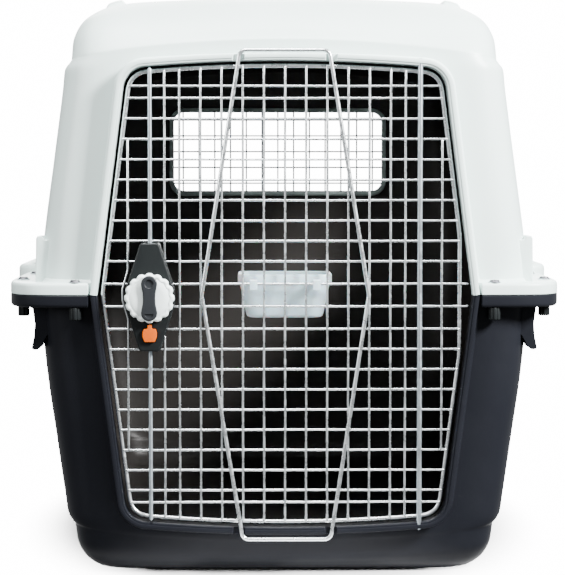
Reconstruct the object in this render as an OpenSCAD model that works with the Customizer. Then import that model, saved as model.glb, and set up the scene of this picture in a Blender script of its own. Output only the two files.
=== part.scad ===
// Travel kennel for a large dog: two moulded half shells bolted at a flange, a welded wire door
// with a rack and pinion latch, window grilles and a hung water bowl.
// Millimetres. +Z up, the door faces -Y, origin on the floor under the middle of the whole kennel.

/* [Shells] */
// Height of the seam between the two shells
seam_z = 336; // [334:1:338]
// Wall thickness of the mouldings
wall = 4; // [3:0.5:4]
// Squareness of the shells in plan (exponent of the rounded outline)
body_square = 14; // [13:1:15]
// Distance of the shells' middle behind the origin
body_y = 13; // [12:0.5:14]

/* [Flange] */
// Half width of the flange
flange_w = 333; // [332:1:334]
// Half length of the flange
flange_l = 447; // [445:1:447]
// Depth of each half of the flange
flange_h = 14.5; // [14:0.5:15]
// Thickness of the flange plates and skirts
flange_t = 4; // [3.5:0.5:4.5]

/* [Door opening] */
// Half width of the door opening at the seam
open_w = 222; // [221:1:223]
// Height of the opening above and below the seam at its middle
open_h = 276.5; // [275:0.5:278]
// Corner radius of the opening
open_r = 28; // [26:1:30]
// Front face of the raised door lip
lip_y = -434; // [-435:1:-433]
// Width of the raised door lip
lip_w = 8; // [7:0.5:9]

/* [Door wires] */
// Radius of the door frame wire
frame_r = 2.5; // [2.4:0.1:2.6]
// Radius of the mesh wires
mesh_r = 1.4; // [1.3:0.1:1.5]
// Radius of the bail wire
bail_r = 2.4; // [2.3:0.1:2.5]
// Radius of the lock rods
lock_r = 2.4; // [2.3:0.1:2.5]
// Radius of the hinge rod
hinge_r = 3; // [2.9:0.1:3.1]
// Distance of the hinge and lock rods from the middle
rod_x = 159; // [158:0.5:160]

/* [Latch] */
// Outer radius of the scalloped knob
knob_r = 30; // [29:0.5:30]
// Travel of each lock rod
rod_travel = 14; // [12:0.5:14]
// Teeth on the pinion
pinion_teeth = 12; // [12:1:12]
// Gear module
gear_module = 1.5; // [1.5:0.1:1.5]

/* [Hidden] */

$fn = 40;
fit = 0.06;             // radial clearance of a running fit
ring_points = 64;       // points round each ring of a shell
tube_sides = 10;        // sides of a bent wire

// Rings of the shells: [height at the sides, extra height at the middle of the front, half width,
// half length]. The roof and floor rings shrink towards the middle.
UPPER_RINGS = [[seam_z, 0, 300, 431], [400, 0, 294, 430], [581, 0, 270, 427], [604, 6, 267.5, 426],
    [612, 18, 262, 425], [616, 22, 259.5, 424.5], [637, 14, 258.5, 412], [653, 11, 254, 399],
    [665, 10, 247, 384], [674, 11, 237, 366], [682, 9, 224, 344], [688, 6, 207, 315],
    [692.5, 4.5, 180, 275], [696, 2, 120, 200], [698, 0.5, 50, 90]];
LOWER_RINGS = [[seam_z, 0, 300, 431], [240, 0, 291, 430], [94, -1, 270.5, 427],
    [68, -8, 266.5, 426], [60, -15, 262, 425], [56, -17, 258.5, 424], [34, -13, 255.5, 420],
    [20, -8, 250.5, 413], [9, -4, 242, 404], [2, -1, 231, 394], [0, 0, 220, 383]];
roof_top = 699;
roof_thin_from = 600;   // above this the inner skin drops by the wall thickness

// Places of the door's wires
frame_y = -424;
horizontal_y = -425.9;
vertical_y = -427.7;
rod_y = -430.2;
bail_y = -431.3;
frame_gap = 6.5;        // frame wire's centre line inside the opening
hinge_side_x = 206.5;   // the frame's hinge side is straight near the seam
column_pitch = 24.9;
COLUMNS = concat([for (i = [-5:5]) i * column_pitch], [-142, 142]);
side_column = 185.2;
row_pitch = 24;
ROWS = concat([13.3, 40], [for (i = [0:7]) 64 + i * row_pitch], [246.3]);
stop_x = 217;           // how far the two stop wires reach on the hinge side

// Latch
latch_z = 334;
housing_front = -446;
housing_back = -419.5;
housing_wall = 2.4;
plate_back = -416.5;
pitch_r = pinion_teeth * gear_module / 2;
rod_reach = seam_z + 267.5;  // tip of the drawn-back upper rod
rack_y = -433.4;
rack_t = 6.4;
rod_inner_end = 36;          // inner end of a rod from the knob's axis

// Flange fixings: [x, y] on the right half
BOLTS = [[248, -425], [317, -350], [316, -215], [316, 241], [317, 376], [248, 450.5]];
bolt_r = 3;

// ---------- plane helpers ----------
function power(v, e) = sign(v) * pow(abs(v), e);

// Rounded outline with half width a and half length b about [0, body_y]. Its points stand closer
// together towards the corners.
function plan(a, b, n = body_square, count = ring_points) = let (side = count / 4)
    [for (q = [0:3]) for (i = [0:side - 1])
        let (t = 90 * q + 45 + 45 * power(2 * (i + 0.5) / side - 1, 1.6),
            r = pow(pow(abs(cos(t)), n) + pow(abs(sin(t)), n), -1 / n))
        [a * r * cos(t), body_y + b * r * sin(t)]];

// Rounded rectangle with centre [cx, cy], size w by h, corner radius r
function rounded(cx, cy, w, h, r, steps = 6) = [for (q = [0:3]) for (i = [0:steps])
    let (sx = (q == 0 || q == 3) ? 1 : -1, sy = q < 2 ? 1 : -1, t = 90 * (q + i / steps))
    [cx + sx * (w / 2 - r) + r * cos(t), cy + sy * (h / 2 - r) + r * sin(t)]];

// Upper half of the door opening, grown outwards by o, as [x, height above the seam] from right to
// left: a leaning side, a round corner and a shallow arch on top.
lean = atan(0.128);
arch_r = 1921;
arch_c = open_h - arch_r;
side_n = [cos(lean), sin(lean)];
side_d = [-sin(lean), cos(lean)];
corner_from = [open_w, 0] - open_r * side_n - [0, arch_c];
corner_b = corner_from * side_d;
corner_s = -corner_b + sqrt(corner_b * corner_b - corner_from * corner_from
    + pow(arch_r - open_r, 2));
corner = [open_w, 0] - open_r * side_n + corner_s * side_d;
corner_end = atan2(corner[1] - arch_c, corner[0]);
function half_opening(o, steps = 7) = concat(
    [[open_w + o / cos(lean), 0]],
    [for (i = [0:steps]) let (t = lean + (corner_end - lean) * i / steps)
        corner + (open_r + o) * [cos(t), sin(t)]],
    [for (i = [1:9]) let (t = corner_end + (180 - 2 * corner_end) * i / 10)
        [0, arch_c] + (arch_r + o) * [cos(t), sin(t)]],
    [for (i = [steps:-1:0]) let (t = lean + (corner_end - lean) * i / steps, p =
        corner + (open_r + o) * [cos(t), sin(t)]) [-p[0], p[1]]],
    [[-open_w - o / cos(lean), 0]]);

// Half width of the door frame's centre line at height h from the seam
wire_corner_r = open_r - frame_gap;
function frame_half(h) = abs(h) > corner[1] + wire_corner_r * sin(lean)
    ? corner[0] + sqrt(pow(wire_corner_r, 2) - pow(abs(h) - corner[1], 2))
    : open_w - frame_gap / cos(lean) - abs(h) * tan(lean);

// Height of the frame wire above the seam at distance x from the middle
function frame_top(x) = let (start = (arch_r - frame_gap) * cos(corner_end))
    abs(x) < start ? arch_c + sqrt(pow(arch_r - frame_gap, 2) - x * x)
    : corner[1] + sqrt(max(0, pow(wire_corner_r, 2) - pow(abs(x) - corner[0], 2)));

// ---------- solid helpers ----------
// Faces that join stacked rings of n points; ring 0 is the lowest when the rings run upwards
function ring_faces(rings, n, flip = false) = [for (k = [0:rings - 2]) for (i = [0:n - 1])
    let (a = k * n + i, b = k * n + (i + 1) % n, c = b + n, d = a + n)
    each (flip ? [[a, b, c], [a, c, d]] : [[c, b, a], [d, c, a]])];

// Points of one ring of a shell, moved inwards by t and towards the seam by drop
function shell_ring(row, t, drop) = let (a = row[2] - t, b = row[3] - t)
    [for (p = plan(a, b)) [p[0], p[1], row[0] - drop + row[1] * (1 - pow(p[0] / a, 2))]];

// Solid filling of a half shell, t inside the outer skin
module filling(rows, t, way, top) {
    count = len(rows);
    n = ring_points;
    rings = [for (k = [0:count - 1]) let (row = rows[k], share = way > 0
            ? min(1, max(0, (row[0] - roof_thin_from) / 70)) : min(1, max(0, (70 - row[0]) / 50)))
        each shell_ring(k == 0 ? [row[0] - way * 0.01 * t, row[1], row[2], row[3]] : row,
            t, way * t * share)];
    points = concat(rings, [[0, body_y, top - way * t], [0, body_y, rings[0][2]]]);
    last = (count - 1) * n;
    caps = [for (i = [0:n - 1]) let (j = (i + 1) % n)
        each (way > 0 ? [[count * n, last + j, last + i], [count * n + 1, i, j]]
            : [[count * n, last + i, last + j], [count * n + 1, j, i]])];
    polyhedron(points, concat(ring_faces(count, n, way < 0), caps), convexity = 4);
}

// Round wire along a list of points in space, closed or open
function unit(v) = v / norm(v);
module wire(path, r, closed = false, sides = tube_sides) {
    n = len(path);
    ahead = [for (i = [0:n - 1]) let (
        back = path[closed ? (i + n - 1) % n : max(0, i - 1)],
        next = path[closed ? (i + 1) % n : min(n - 1, i + 1)]) unit(next - back)];
    // every wire lies in a plane of constant Y, so Y is one of its two section axes
    points = [for (i = [0:n - 1]) let (u = unit(cross(ahead[i], [0, 1, 0]))) for (k = [0:sides - 1])
        path[i] + r * cos(360 * k / sides) * u + r * sin(360 * k / sides) * [0, 1, 0]];
    rings = closed ? n : n - 1;
    walls = [for (i = [0:rings - 1]) for (k = [0:sides - 1]) let (a = i * sides + k,
        b = i * sides + (k + 1) % sides, c = ((i + 1) % n) * sides + (k + 1) % sides,
        d = ((i + 1) % n) * sides + k) each [[a, b, c], [a, c, d]]];
    ends = closed ? [] : [[for (k = [sides - 1:-1:0]) k],
        [for (k = [0:sides - 1]) (n - 1) * sides + k]];
    polyhedron(points, concat(walls, ends), convexity = 6);
}

// Points of a path with each inner corner rounded by radius r
function round_path(p, r, closed = true, steps = 4) = [for (i = [0:len(p) - 1])
    let (n = len(p), a = unit(p[(i + n - 1) % n] - p[i]), b = unit(p[(i + 1) % n] - p[i]),
        half = acos(max(-1, min(1, a * b))) / 2, cut = r / tan(half),
        c = p[i] + unit(a + b) * r / sin(half), u = p[i] + a * cut - c, v = p[i] + b * cut - c)
    each ((!closed && (i == 0 || i == n - 1)) || half > 89 ? [p[i]]
        : [for (k = [0:steps]) let (w = k / steps, q = unit(u * (1 - w) + v * w)) c + r * q])];

// Upright prism between y0 and y1 from an outline of [x, z]
module slab(outline, y0, y1) translate([0, y1, 0]) rotate([90, 0, 0])
    linear_extrude(y1 - y0) polygon(outline);

// ---------- shells ----------
// way is 1 for the upper shell and -1 for the lower one
module half_lip(way) {
    outer = half_opening(lip_w);
    slab([for (p = outer) [p[0], seam_z + way * p[1]]], lip_y, lip_y + 28);
}

module doorway(way) {
    line = concat(half_opening(0), [[-open_w, -20], [open_w, -20]]);
    slab([for (p = line) [p[0], seam_z + way * p[1]]], lip_y - 20, lip_y + 60);
}

boss_r = 7;
boss_h = 22;
boss_bottom = 267;
module rod_boss(side, way) translate([side * rod_x, rod_y, seam_z + way * (boss_bottom + boss_h / 2)]) {
    cylinder(r = boss_r, h = boss_h, center = true);
    translate([-boss_r, 0, -boss_h / 2]) cube([2 * boss_r, 22, boss_h]);
}

module rod_bore(side, way, r) translate([side * rod_x, rod_y,
    seam_z + way * (boss_bottom + (boss_h - 4) / 2 - 5)])
    cylinder(r = r + fit, h = boss_h + 4, center = true);

// Slot in the lip that a leg of the bail lies in
module bail_notch(x, way) translate([x - 7, lip_y - 1, seam_z + way * 280 - 12])
    cube([14, 7, 24]);

handle_in = 309;
handle_out = 346;
handle_half = 165;
module handle_outline() difference() {
    polygon(rounded((handle_out + 280) / 2, 0, handle_out - 280, 2 * handle_half, 26));
    for (s = [-1, 1]) polygon(rounded((handle_in + 331) / 2, s * 75, 331 - handle_in, 132, 9));
}

module flange_plan(inset) polygon(plan(flange_w - inset, flange_l - inset, body_square, 72));

// One half of the flange, its skirt, bolt bosses and the two carry handles
module flange(way) {
    low = way > 0 ? seam_z : seam_z - flange_h;
    plate = way > 0 ? seam_z + flange_h - flange_t : seam_z - flange_t;
    translate([0, 0, plate]) linear_extrude(flange_t) flange_plan(0);
    translate([0, 0, low]) linear_extrude(flange_h) difference() {
        flange_plan(0);
        flange_plan(flange_t);
    }
    for (s = [-1, 1]) {
        for (b = BOLTS) translate([s * b[0], b[1], low]) cylinder(r = 8, h = flange_h);
        translate([0, 0, low]) linear_extrude(way > 0 ? flange_h + 2 : flange_h)
            mirror([s > 0 ? 0 : 1, 0]) handle_outline();
        if (way > 0) translate([0, 0, low + flange_h]) linear_extrude(10)
            mirror([s > 0 ? 0 : 1, 0]) difference() {
                handle_outline();
                translate([200, -300]) square([132, 600]);
            }
    }
}

module flange_cuts() for (s = [-1, 1]) {
    for (b = BOLTS) translate([s * b[0], b[1], seam_z - 30]) cylinder(r = bolt_r + fit, h = 60);
    for (t = [-1, 1]) translate([0, 0, seam_z - 30]) linear_extrude(60)
        mirror([s > 0 ? 0 : 1, 0])
        polygon(rounded((handle_in + 331) / 2, t * 75, 331 - handle_in, 132, 9));
}

// Brackets beside the door: pillars with a notched top above the flange, fins below it
bracket_y0 = -394;
bracket_y1 = -362;
module pillar(s) translate([s * 287, 0, 0]) difference() {
    slab([[-11, seam_z + 5], [11, seam_z + 5], [10, seam_z + 69], [-10, seam_z + 69]],
        bracket_y0, bracket_y1);
    translate([-2.5 * s, bracket_y0 - 1, seam_z + 68]) rotate([-90, 0, 0])
        cylinder(r = 4.5, h = 40);
}

module fin(s) mirror([s > 0 ? 0 : 1, 0, 0]) difference() {
    slab([[272, seam_z - 8], [301, seam_z - 8], [297, seam_z - 45], [301, seam_z - 66],
        [294, seam_z - 66], [284, seam_z - 48], [272, seam_z - 48]], bracket_y0, bracket_y1 - 6);
}

// Local frame of a window: x across, y up, z outwards, on the wall's outer face
wall_lean = atan((294 - 270) / (581 - 400));
window_z = 512;
side_window_w = 460;
rear_window_w = 330;
window_h = 124;
window_r = 16;
rim_w = 7;
rim_depth = 16;
module on_side(s) translate([s * (294 - (window_z - 400) * tan(wall_lean)), body_y, window_z])
    rotate([0, -s * wall_lean, 0]) rotate([90, 0, s * 90]) children();
module on_rear() translate([0, body_y + 427.5, window_z]) rotate([90, 0, 180]) children();

module window_rim(w) translate([0, 0, 2.5 - rim_depth]) linear_extrude(rim_depth)
    polygon(rounded(0, 0, w + 2 * rim_w, window_h + 2 * rim_w, window_r + rim_w));
module window_cut(w) translate([0, 0, -40]) linear_extrude(60)
    polygon(rounded(0, 0, w, window_h, window_r));

// Ribs along the roof, of even height over its curve
rib_x = 209;
rib_rise = 7;
module roof_ribs() intersection() {
    filling(UPPER_RINGS, -rib_rise, 1, roof_top);
    for (s = [-1, 1]) translate([s * rib_x - 11, body_y - 310, 640]) cube([22, 620, 60]);
}

module upper_shell() color("#e3e9e8") difference() {
    union() {
        difference() {
            union() {
                filling(UPPER_RINGS, 0, 1, roof_top);
                half_lip(1);
                for (s = [-1, 1]) rod_boss(s, 1);
                roof_ribs();
                on_rear() window_rim(rear_window_w);
                for (s = [-1, 1]) on_side(s) window_rim(side_window_w);
            }
            filling(UPPER_RINGS, wall, 1, roof_top);
        }
        on_rear() window_rim(rear_window_w);
        for (s = [-1, 1]) on_side(s) window_rim(side_window_w);
    }
    doorway(1);
    on_rear() window_cut(rear_window_w);
    for (s = [-1, 1]) on_side(s) window_cut(side_window_w);
    rod_bore(-1, 1, lock_r);
    rod_bore(1, 1, hinge_r);
    for (x = [-55, 55]) bail_notch(x, 1);
    flange_cuts();
}

module lower_shell() color("#2e3134") difference() {
    union() {
        filling(LOWER_RINGS, 0, -1, 0);
        half_lip(-1);
        for (s = [-1, 1]) rod_boss(s, -1);
    }
    filling(LOWER_RINGS, wall, -1, 0);
    doorway(-1);
    rod_bore(-1, -1, lock_r);
    rod_bore(1, -1, hinge_r);
    for (x = [-55, 55]) bail_notch(x, -1);
    flange_cuts();
}

// The flange outside the shell's skin and lip, with its holes and slots
module flange_solid(way) difference() {
    union() {
        flange(way);
        for (s = [-1, 1]) if (way > 0) pillar(s); else fin(s);
    }
    filling(way > 0 ? UPPER_RINGS : LOWER_RINGS, 0, way, way > 0 ? roof_top : 0);
    half_lip(way);
    doorway(way);
    flange_cuts();
}
// Stretch of the flange that carries the handles
module handle_zone() for (s = [-1, 1]) translate([s > 0 ? 285 : -355, -165.5, seam_z - 30])
    cube([70, 331, 60]);

module upper_flange() color("#e3e9e8") difference() {
    flange_solid(1);
    handle_zone();
}
module lower_flange() color("#2e3134") difference() {
    flange_solid(-1);
    handle_zone();
}
module upper_handles() color("#e3e9e8") intersection() {
    flange_solid(1);
    handle_zone();
}
module lower_handles() color("#2e3134") intersection() {
    flange_solid(-1);
    handle_zone();
}

// ---------- flange fixings ----------
bolt_tip = seam_z - flange_h - 12;
module at_bolts() for (s = [-1, 1]) for (b = BOLTS) translate([s * b[0], b[1], 0]) children();

module flange_bolts() color("#3a3d40") at_bolts() {
    translate([0, 0, bolt_tip]) cylinder(r = bolt_r, h = seam_z + flange_h + 1 - bolt_tip);
    translate([0, 0, seam_z + flange_h + 1]) cylinder(r1 = 6.5, r2 = 5, h = 2.4);
}

module flange_washers() color("silver") at_bolts() translate([0, 0, seam_z + flange_h])
    difference() {
        cylinder(r = 7.5, h = 1);
        translate([0, 0, -1]) cylinder(r = bolt_r + fit, h = 3);
    }

module flange_thumb_nuts() color("#17181a") at_bolts() translate([0, 0, bolt_tip - 3])
    difference() {
        union() {
            cylinder(r1 = 6.2, r2 = 7, h = 2);
            translate([0, 0, 2]) cylinder(r = 7, h = 13);
        }
        translate([0, 0, 3]) cylinder(r = bolt_r + fit, h = 20);
        for (k = [0:7]) rotate([0, 0, 45 * k]) translate([7.6, 0, -1]) cylinder(r = 1.4, h = 13);
    }

// ---------- door ----------
function mirrored(pts) = [for (i = [len(pts) - 1:-1:0]) [pts[i][0], -pts[i][1]]];
top_line = [for (p = half_opening(-frame_gap)) if (p[1] > 1) p];
hinge_straight = (open_w - frame_gap / cos(lean) - hinge_side_x) / tan(lean);
frame_line = concat([[hinge_side_x, 0], [hinge_side_x, hinge_straight]], top_line,
    [[-open_w + frame_gap / cos(lean), 0]], mirrored(top_line), [[hinge_side_x, -hinge_straight]]);

module door_frame_wire() color("#c9cdd0")
    wire([for (p = frame_line) [p[0], frame_y, seam_z + p[1]]], frame_r, true);

// Straight wire along Z at x, between heights z0 and z1 from the seam
module upright(x, z0, z1) translate([x, vertical_y, seam_z + z0]) cylinder(r = mesh_r, h = z1 - z0);

// Room that the mesh leaves for the latch
HOUSING = [[-11, 64], [11, 64], [29, 9], [29, -9], [12, -63], [-12, -63], [-29, -9], [-29, 9]];
function grown(pts, g) = [for (p = pts) [p[0] * (1 + g / 29), p[1] * (1 + g / 64)]];
module latch_room() translate([-rod_x, 0, latch_z]) slab(grown(HOUSING, 0.6), -460, -410);

module door_mesh_vertical() color("#c9cdd0") difference() {
    union() {
        for (x = COLUMNS) upright(x, -frame_top(x), frame_top(x));
        upright(side_column, -183.4, 183.4);
        bow = [[0, 183.4], [0, 30], [-6.5, 8], [-6.5, -6], [0, -28], [0, -183.4]];
        wire(round_path([for (p = bow) [-side_column + p[0], vertical_y, seam_z + p[1]]], 12, false),
            mesh_r);
    }
    latch_room();
}

module door_mesh_horizontal() color("#c9cdd0") difference() {
    for (w = [-1, 1]) for (h = ROWS) {
        left = -frame_half(h);
        right = h < 20 ? stop_x : min(hinge_side_x, frame_half(h));
        translate([left, horizontal_y, seam_z + w * h]) rotate([0, 90, 0])
            cylinder(r = mesh_r, h = right - left);
    }
    latch_room();
}

BAIL = [[-53, 288], [52, 288], [99, 0], [54, -290], [-50, -290], [-98.5, 0]];
module door_bail() color("#d3d6d8") wire(round_path([for (p = BAIL)
    [p[0], bail_y, seam_z + p[1]]], 8), bail_r, true);

module hinge_rod() color("#b9bec2") translate([rod_x, rod_y, seam_z - boss_bottom - 12])
    cylinder(r = hinge_r, h = 2 * (boss_bottom + 12));

// ---------- latch ----------
function inner_housing(t) = [for (p = HOUSING)
    [p[0] - sign(p[0]) * t * 1.12, p[1] - (abs(p[1]) > 20 ? sign(p[1]) * t : 0)]];
module at_latch() translate([-rod_x, 0, latch_z]) children();
module across(r, y0, y1) translate([0, y0, 0]) rotate([-90, 0, 0]) cylinder(r = r, h = y1 - y0);
SCREW_X = [-23, 23];
screw_r = 1.45;
knob_shaft_r = 5;
button_z = -42.5;
button_gap = 0.2;

spring_y = -440.6;
module latch_housing() color("#1d1e20") at_latch() difference() {
    union() {
        difference() {
            slab(HOUSING, housing_front, housing_back);
            slab(inner_housing(housing_wall), housing_front + 3, housing_back + 1);
        }
        // seat that the button spring bears on
        translate([-16.5, spring_y + 5.4, button_z - 5]) cube([33, 1, 10]);
    }
    across(knob_shaft_r + fit, housing_front - 1, housing_front + 4);
    translate([0, rod_y, -80]) cylinder(r = lock_r + fit, h = 160);
    translate([0, 0, button_z]) button_block(button_gap, housing_front - 1, housing_front + 4);
}

// The back plate closes the housing from inside; two posts carry the screws
module latch_back_plate() color("#1d1e20") at_latch() difference() {
    union() {
        slab(HOUSING, housing_back, plate_back);
        for (x = SCREW_X) translate([x, 0, 0]) across(3.2, -430, plate_back);
    }
    for (x = SCREW_X) translate([x, 0, 0]) across(screw_r + fit, -428, plate_back + 1);
    across(journal_r + fit, housing_back - 1, plate_back - 1);
}

module latch_screws() color("silver") at_latch() for (x = SCREW_X) translate([x, 0, 0]) {
    across(screw_r, -427, plate_back);
    across(2.8, plate_back, plate_back + 1.6);
}

knob_front = -455;
knob_back = -446.6;
module latch_knob() color("#f2f3f1") at_latch() {
    difference() {
        across(knob_r - 1.2, knob_front, knob_back);
        for (k = [0:15]) rotate([0, 22.5 * k, 0]) translate([knob_r + 2.2, 0, 0])
            across(4.6, knob_front - 1, knob_back + 1);
        across(3, -450, knob_back + 1);
    }
}

module knob_grip() color("#3b3e41") at_latch() difference() {
    union() {
        for (w = [-1, 1]) translate([0, 0, w * 17]) across(9.5, -460, knob_front);
        slab([[-9.4, 17], [9.4, 17], [7.2, 0], [9.4, -17], [-9.4, -17], [-7.2, 0]], -460, knob_front);
    }
    translate([0, 0, 17]) across(5, -461, -458.5);
    translate([0, 0, -17]) difference() {
        across(5, -461, -458.8);
        translate([-6, -462, -1]) cube([12, 6, 8]);
    }
}

journal_r = 2.5;
tooth_add = 1.15;
tooth_ded = 1.7;
module latch_pinion() color("#8f9498") at_latch() {
    translate([0, rack_y + rack_t, 0]) rotate([90, 0, 0]) linear_extrude(rack_t) union() {
        circle(r = pitch_r - tooth_ded);
        for (k = [0:pinion_teeth - 1]) rotate(360 * k / pinion_teeth)
            polygon([[pitch_r - tooth_ded - 0.8, -1.5], [pitch_r - 0.2, -1.0],
                [pitch_r + tooth_add, -0.45], [pitch_r + tooth_add, 0.45],
                [pitch_r - 0.2, 1.0], [pitch_r - tooth_ded - 0.8, 1.5]]);
    }
    across(knob_shaft_r, knob_back, rack_y);
    across(2.94, -450, knob_back);
    across(journal_r, rack_y + rack_t, plate_back - 1.5);
}

// Rack for the upper rod: toothed bar left of the pinion, and an arm that grips the rod.
tooth_pitch = PI * gear_module;
module rack_bar() {
    difference() {
        polygon([[-pitch_r - tooth_ded - 3.4, -26], [-pitch_r + tooth_add, -26],
            [-pitch_r + tooth_add, 14], [-pitch_r - tooth_ded - 0.2, 15],
            [-pitch_r - tooth_ded - 0.2, 24], [4.4, 33], [4.4, 46], [-4.4, 46], [-4.4, 40],
            [-pitch_r - tooth_ded - 3.4, 27]]);
        for (k = [-6:4]) translate([-pitch_r, tooth_pitch * k])
            polygon([[-tooth_ded, -0.85], [tooth_add + 0.1, -1.85], [tooth_add + 0.1, 1.85],
                [-tooth_ded, 0.85]]);
    }
}
module rack() difference() {
    translate([0, rack_y + rack_t, 0]) rotate([90, 0, 0]) linear_extrude(rack_t) rack_bar();
    translate([0, rod_y, rod_inner_end - 1]) cylinder(r = lock_r + 0.02, h = 30);
}
module rack_upper() color("#8f9498") at_latch() rack();
module rack_lower() color("#8f9498") at_latch() rotate([0, 180, 0]) rack();

module lock_rod_upper() color("#b9bec2") translate([-rod_x, rod_y, latch_z + rod_inner_end])
    cylinder(r = lock_r, h = rod_reach - latch_z - rod_inner_end);
module lock_rod_lower() color("#b9bec2") translate([-rod_x, rod_y, 2 * seam_z - rod_reach])
    cylinder(r = lock_r, h = latch_z - rod_inner_end - 2 * seam_z + rod_reach);

// Outline of the button: a wide base with a neck on top, grown by o
module button_block(o, y0, y1) translate([0, y1, 0]) rotate([90, 0, 0])
    linear_extrude(y1 - y0) offset(delta = o) {
        polygon([[-7, 6], [-8.4, 2], [-8.4, -3], [-6, -9], [6, -9], [8.4, -3], [8.4, 2], [7, 6]]);
        polygon(rounded(0, 7.6, 5, 7, 1));
    }
module safety_button() color("#f5991b") at_latch() translate([0, 0, button_z]) {
    difference() {
        button_block(0, housing_front - 4.2, housing_front + 3.2);
        slab([[-6.5, -0.7], [6.5, -0.7], [6.5, 0.3], [-6.5, 0.3]], housing_front - 6,
            housing_front - 3.4);
    }
    // the collar behind the housing's front wall keeps the button in
    slab([[-11, -8], [11, -8], [11, 3], [-11, 3]], housing_front + 3.2, housing_front + 4.8);
}

module button_spring() color("silver") at_latch() translate([0, 0, button_z])
    for (k = [0:3]) translate([0, spring_y + 1.6 * k, 0]) rotate([90, 0, 0])
        rotate_extrude($fn = 24) translate([2.6, 0]) circle(r = 0.4, $fn = 16);

// ---------- bowl ----------
bowl_y = -376;
bowl_top = 360;
bowl_bottom = 308;
module bowl_block(t) hull() {
    translate([0, bowl_y, bowl_top - 1]) linear_extrude(1)
        polygon(rounded(0, 0, 108 - 2 * t, 84 - 2 * t, 14 - t));
    translate([0, bowl_y, bowl_bottom + t]) linear_extrude(1)
        polygon(rounded(0, 0, 92 - 2 * t, 68 - 2 * t, 14 - t));
}
module water_bowl() color("#e6f2fa") {
    difference() {
        union() {
            bowl_block(0);
            translate([0, bowl_y, bowl_top - 11]) linear_extrude(11)
                polygon(rounded(0, 0, 112, 88, 15));
        }
        bowl_block(2);
        translate([0, bowl_y, bowl_top - 2]) linear_extrude(5)
            polygon(rounded(0, 0, 104, 80, 13));
    }
    for (s = [-1, 1]) translate([s * 37.4, 0, 0]) {
        slab_x([[-432.4, 354.2], [-432.4, 342], [-429.8, 342], [-429.8, 351.4], [-419.5, 351.4],
            [-419.5, 354.2]], 9);
    }
}
module slab_x(outline, w) translate([-w / 2, 0, 0]) rotate([90, 0, 90]) linear_extrude(w)
    polygon(outline);

// ---------- window grilles ----------
grille_r = 1.3;
grille_pitch = 25;
module window_grille(w) translate([0, 0, 2.5 - rim_depth + 1.5]) {
    bars = floor(w / 2 / grille_pitch - 0.3);
    for (i = [-bars:bars]) translate([i * grille_pitch, -window_h / 2 - 3, 0]) rotate([-90, 0, 0])
        cylinder(r = grille_r, h = window_h + 6);
    for (j = [-2:2]) translate([-w / 2 - 3, j * grille_pitch, 2.2]) rotate([0, 90, 0])
        cylinder(r = grille_r, h = w + 6);
}
module rear_window_grille() color("#b9bec2") on_rear() window_grille(rear_window_w);
module left_window_grille() color("#b9bec2") on_side(-1) window_grille(side_window_w);
module right_window_grille() color("#b9bec2") on_side(1) window_grille(side_window_w);

lower_shell();
upper_shell();
lower_flange();
upper_flange();
lower_handles();
upper_handles();
flange_bolts();
flange_washers();
flange_thumb_nuts();
door_frame_wire();
door_mesh_vertical();
door_mesh_horizontal();
door_bail();
hinge_rod();
latch_housing();
latch_back_plate();
latch_screws();
latch_knob();
knob_grip();
latch_pinion();
lock_rod_upper();
rack_upper();
lock_rod_lower();
rack_lower();
safety_button();
button_spring();
water_bowl();
rear_window_grille();
left_window_grille();
right_window_grille();
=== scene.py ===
"""Travel kennel for a large dog: the looks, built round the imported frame."""

import logging
import math
from dataclasses import dataclass, field
from enum import Enum
from typing import Callable, Iterable, Sequence

import bpy
import numpy as np
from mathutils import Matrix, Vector


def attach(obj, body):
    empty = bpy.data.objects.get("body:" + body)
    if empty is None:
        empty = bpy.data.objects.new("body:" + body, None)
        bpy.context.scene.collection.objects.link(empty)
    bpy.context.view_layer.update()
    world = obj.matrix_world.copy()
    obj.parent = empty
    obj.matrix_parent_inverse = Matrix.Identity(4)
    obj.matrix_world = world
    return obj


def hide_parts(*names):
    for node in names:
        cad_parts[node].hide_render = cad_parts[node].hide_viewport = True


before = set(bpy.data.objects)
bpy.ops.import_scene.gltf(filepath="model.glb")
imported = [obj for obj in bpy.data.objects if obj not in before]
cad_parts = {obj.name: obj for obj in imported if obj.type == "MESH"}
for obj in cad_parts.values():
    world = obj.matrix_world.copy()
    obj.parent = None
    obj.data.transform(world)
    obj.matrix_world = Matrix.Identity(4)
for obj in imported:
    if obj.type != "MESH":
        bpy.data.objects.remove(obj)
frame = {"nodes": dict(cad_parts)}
log = logging.getLogger("kennel")
MM = 0.001


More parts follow.
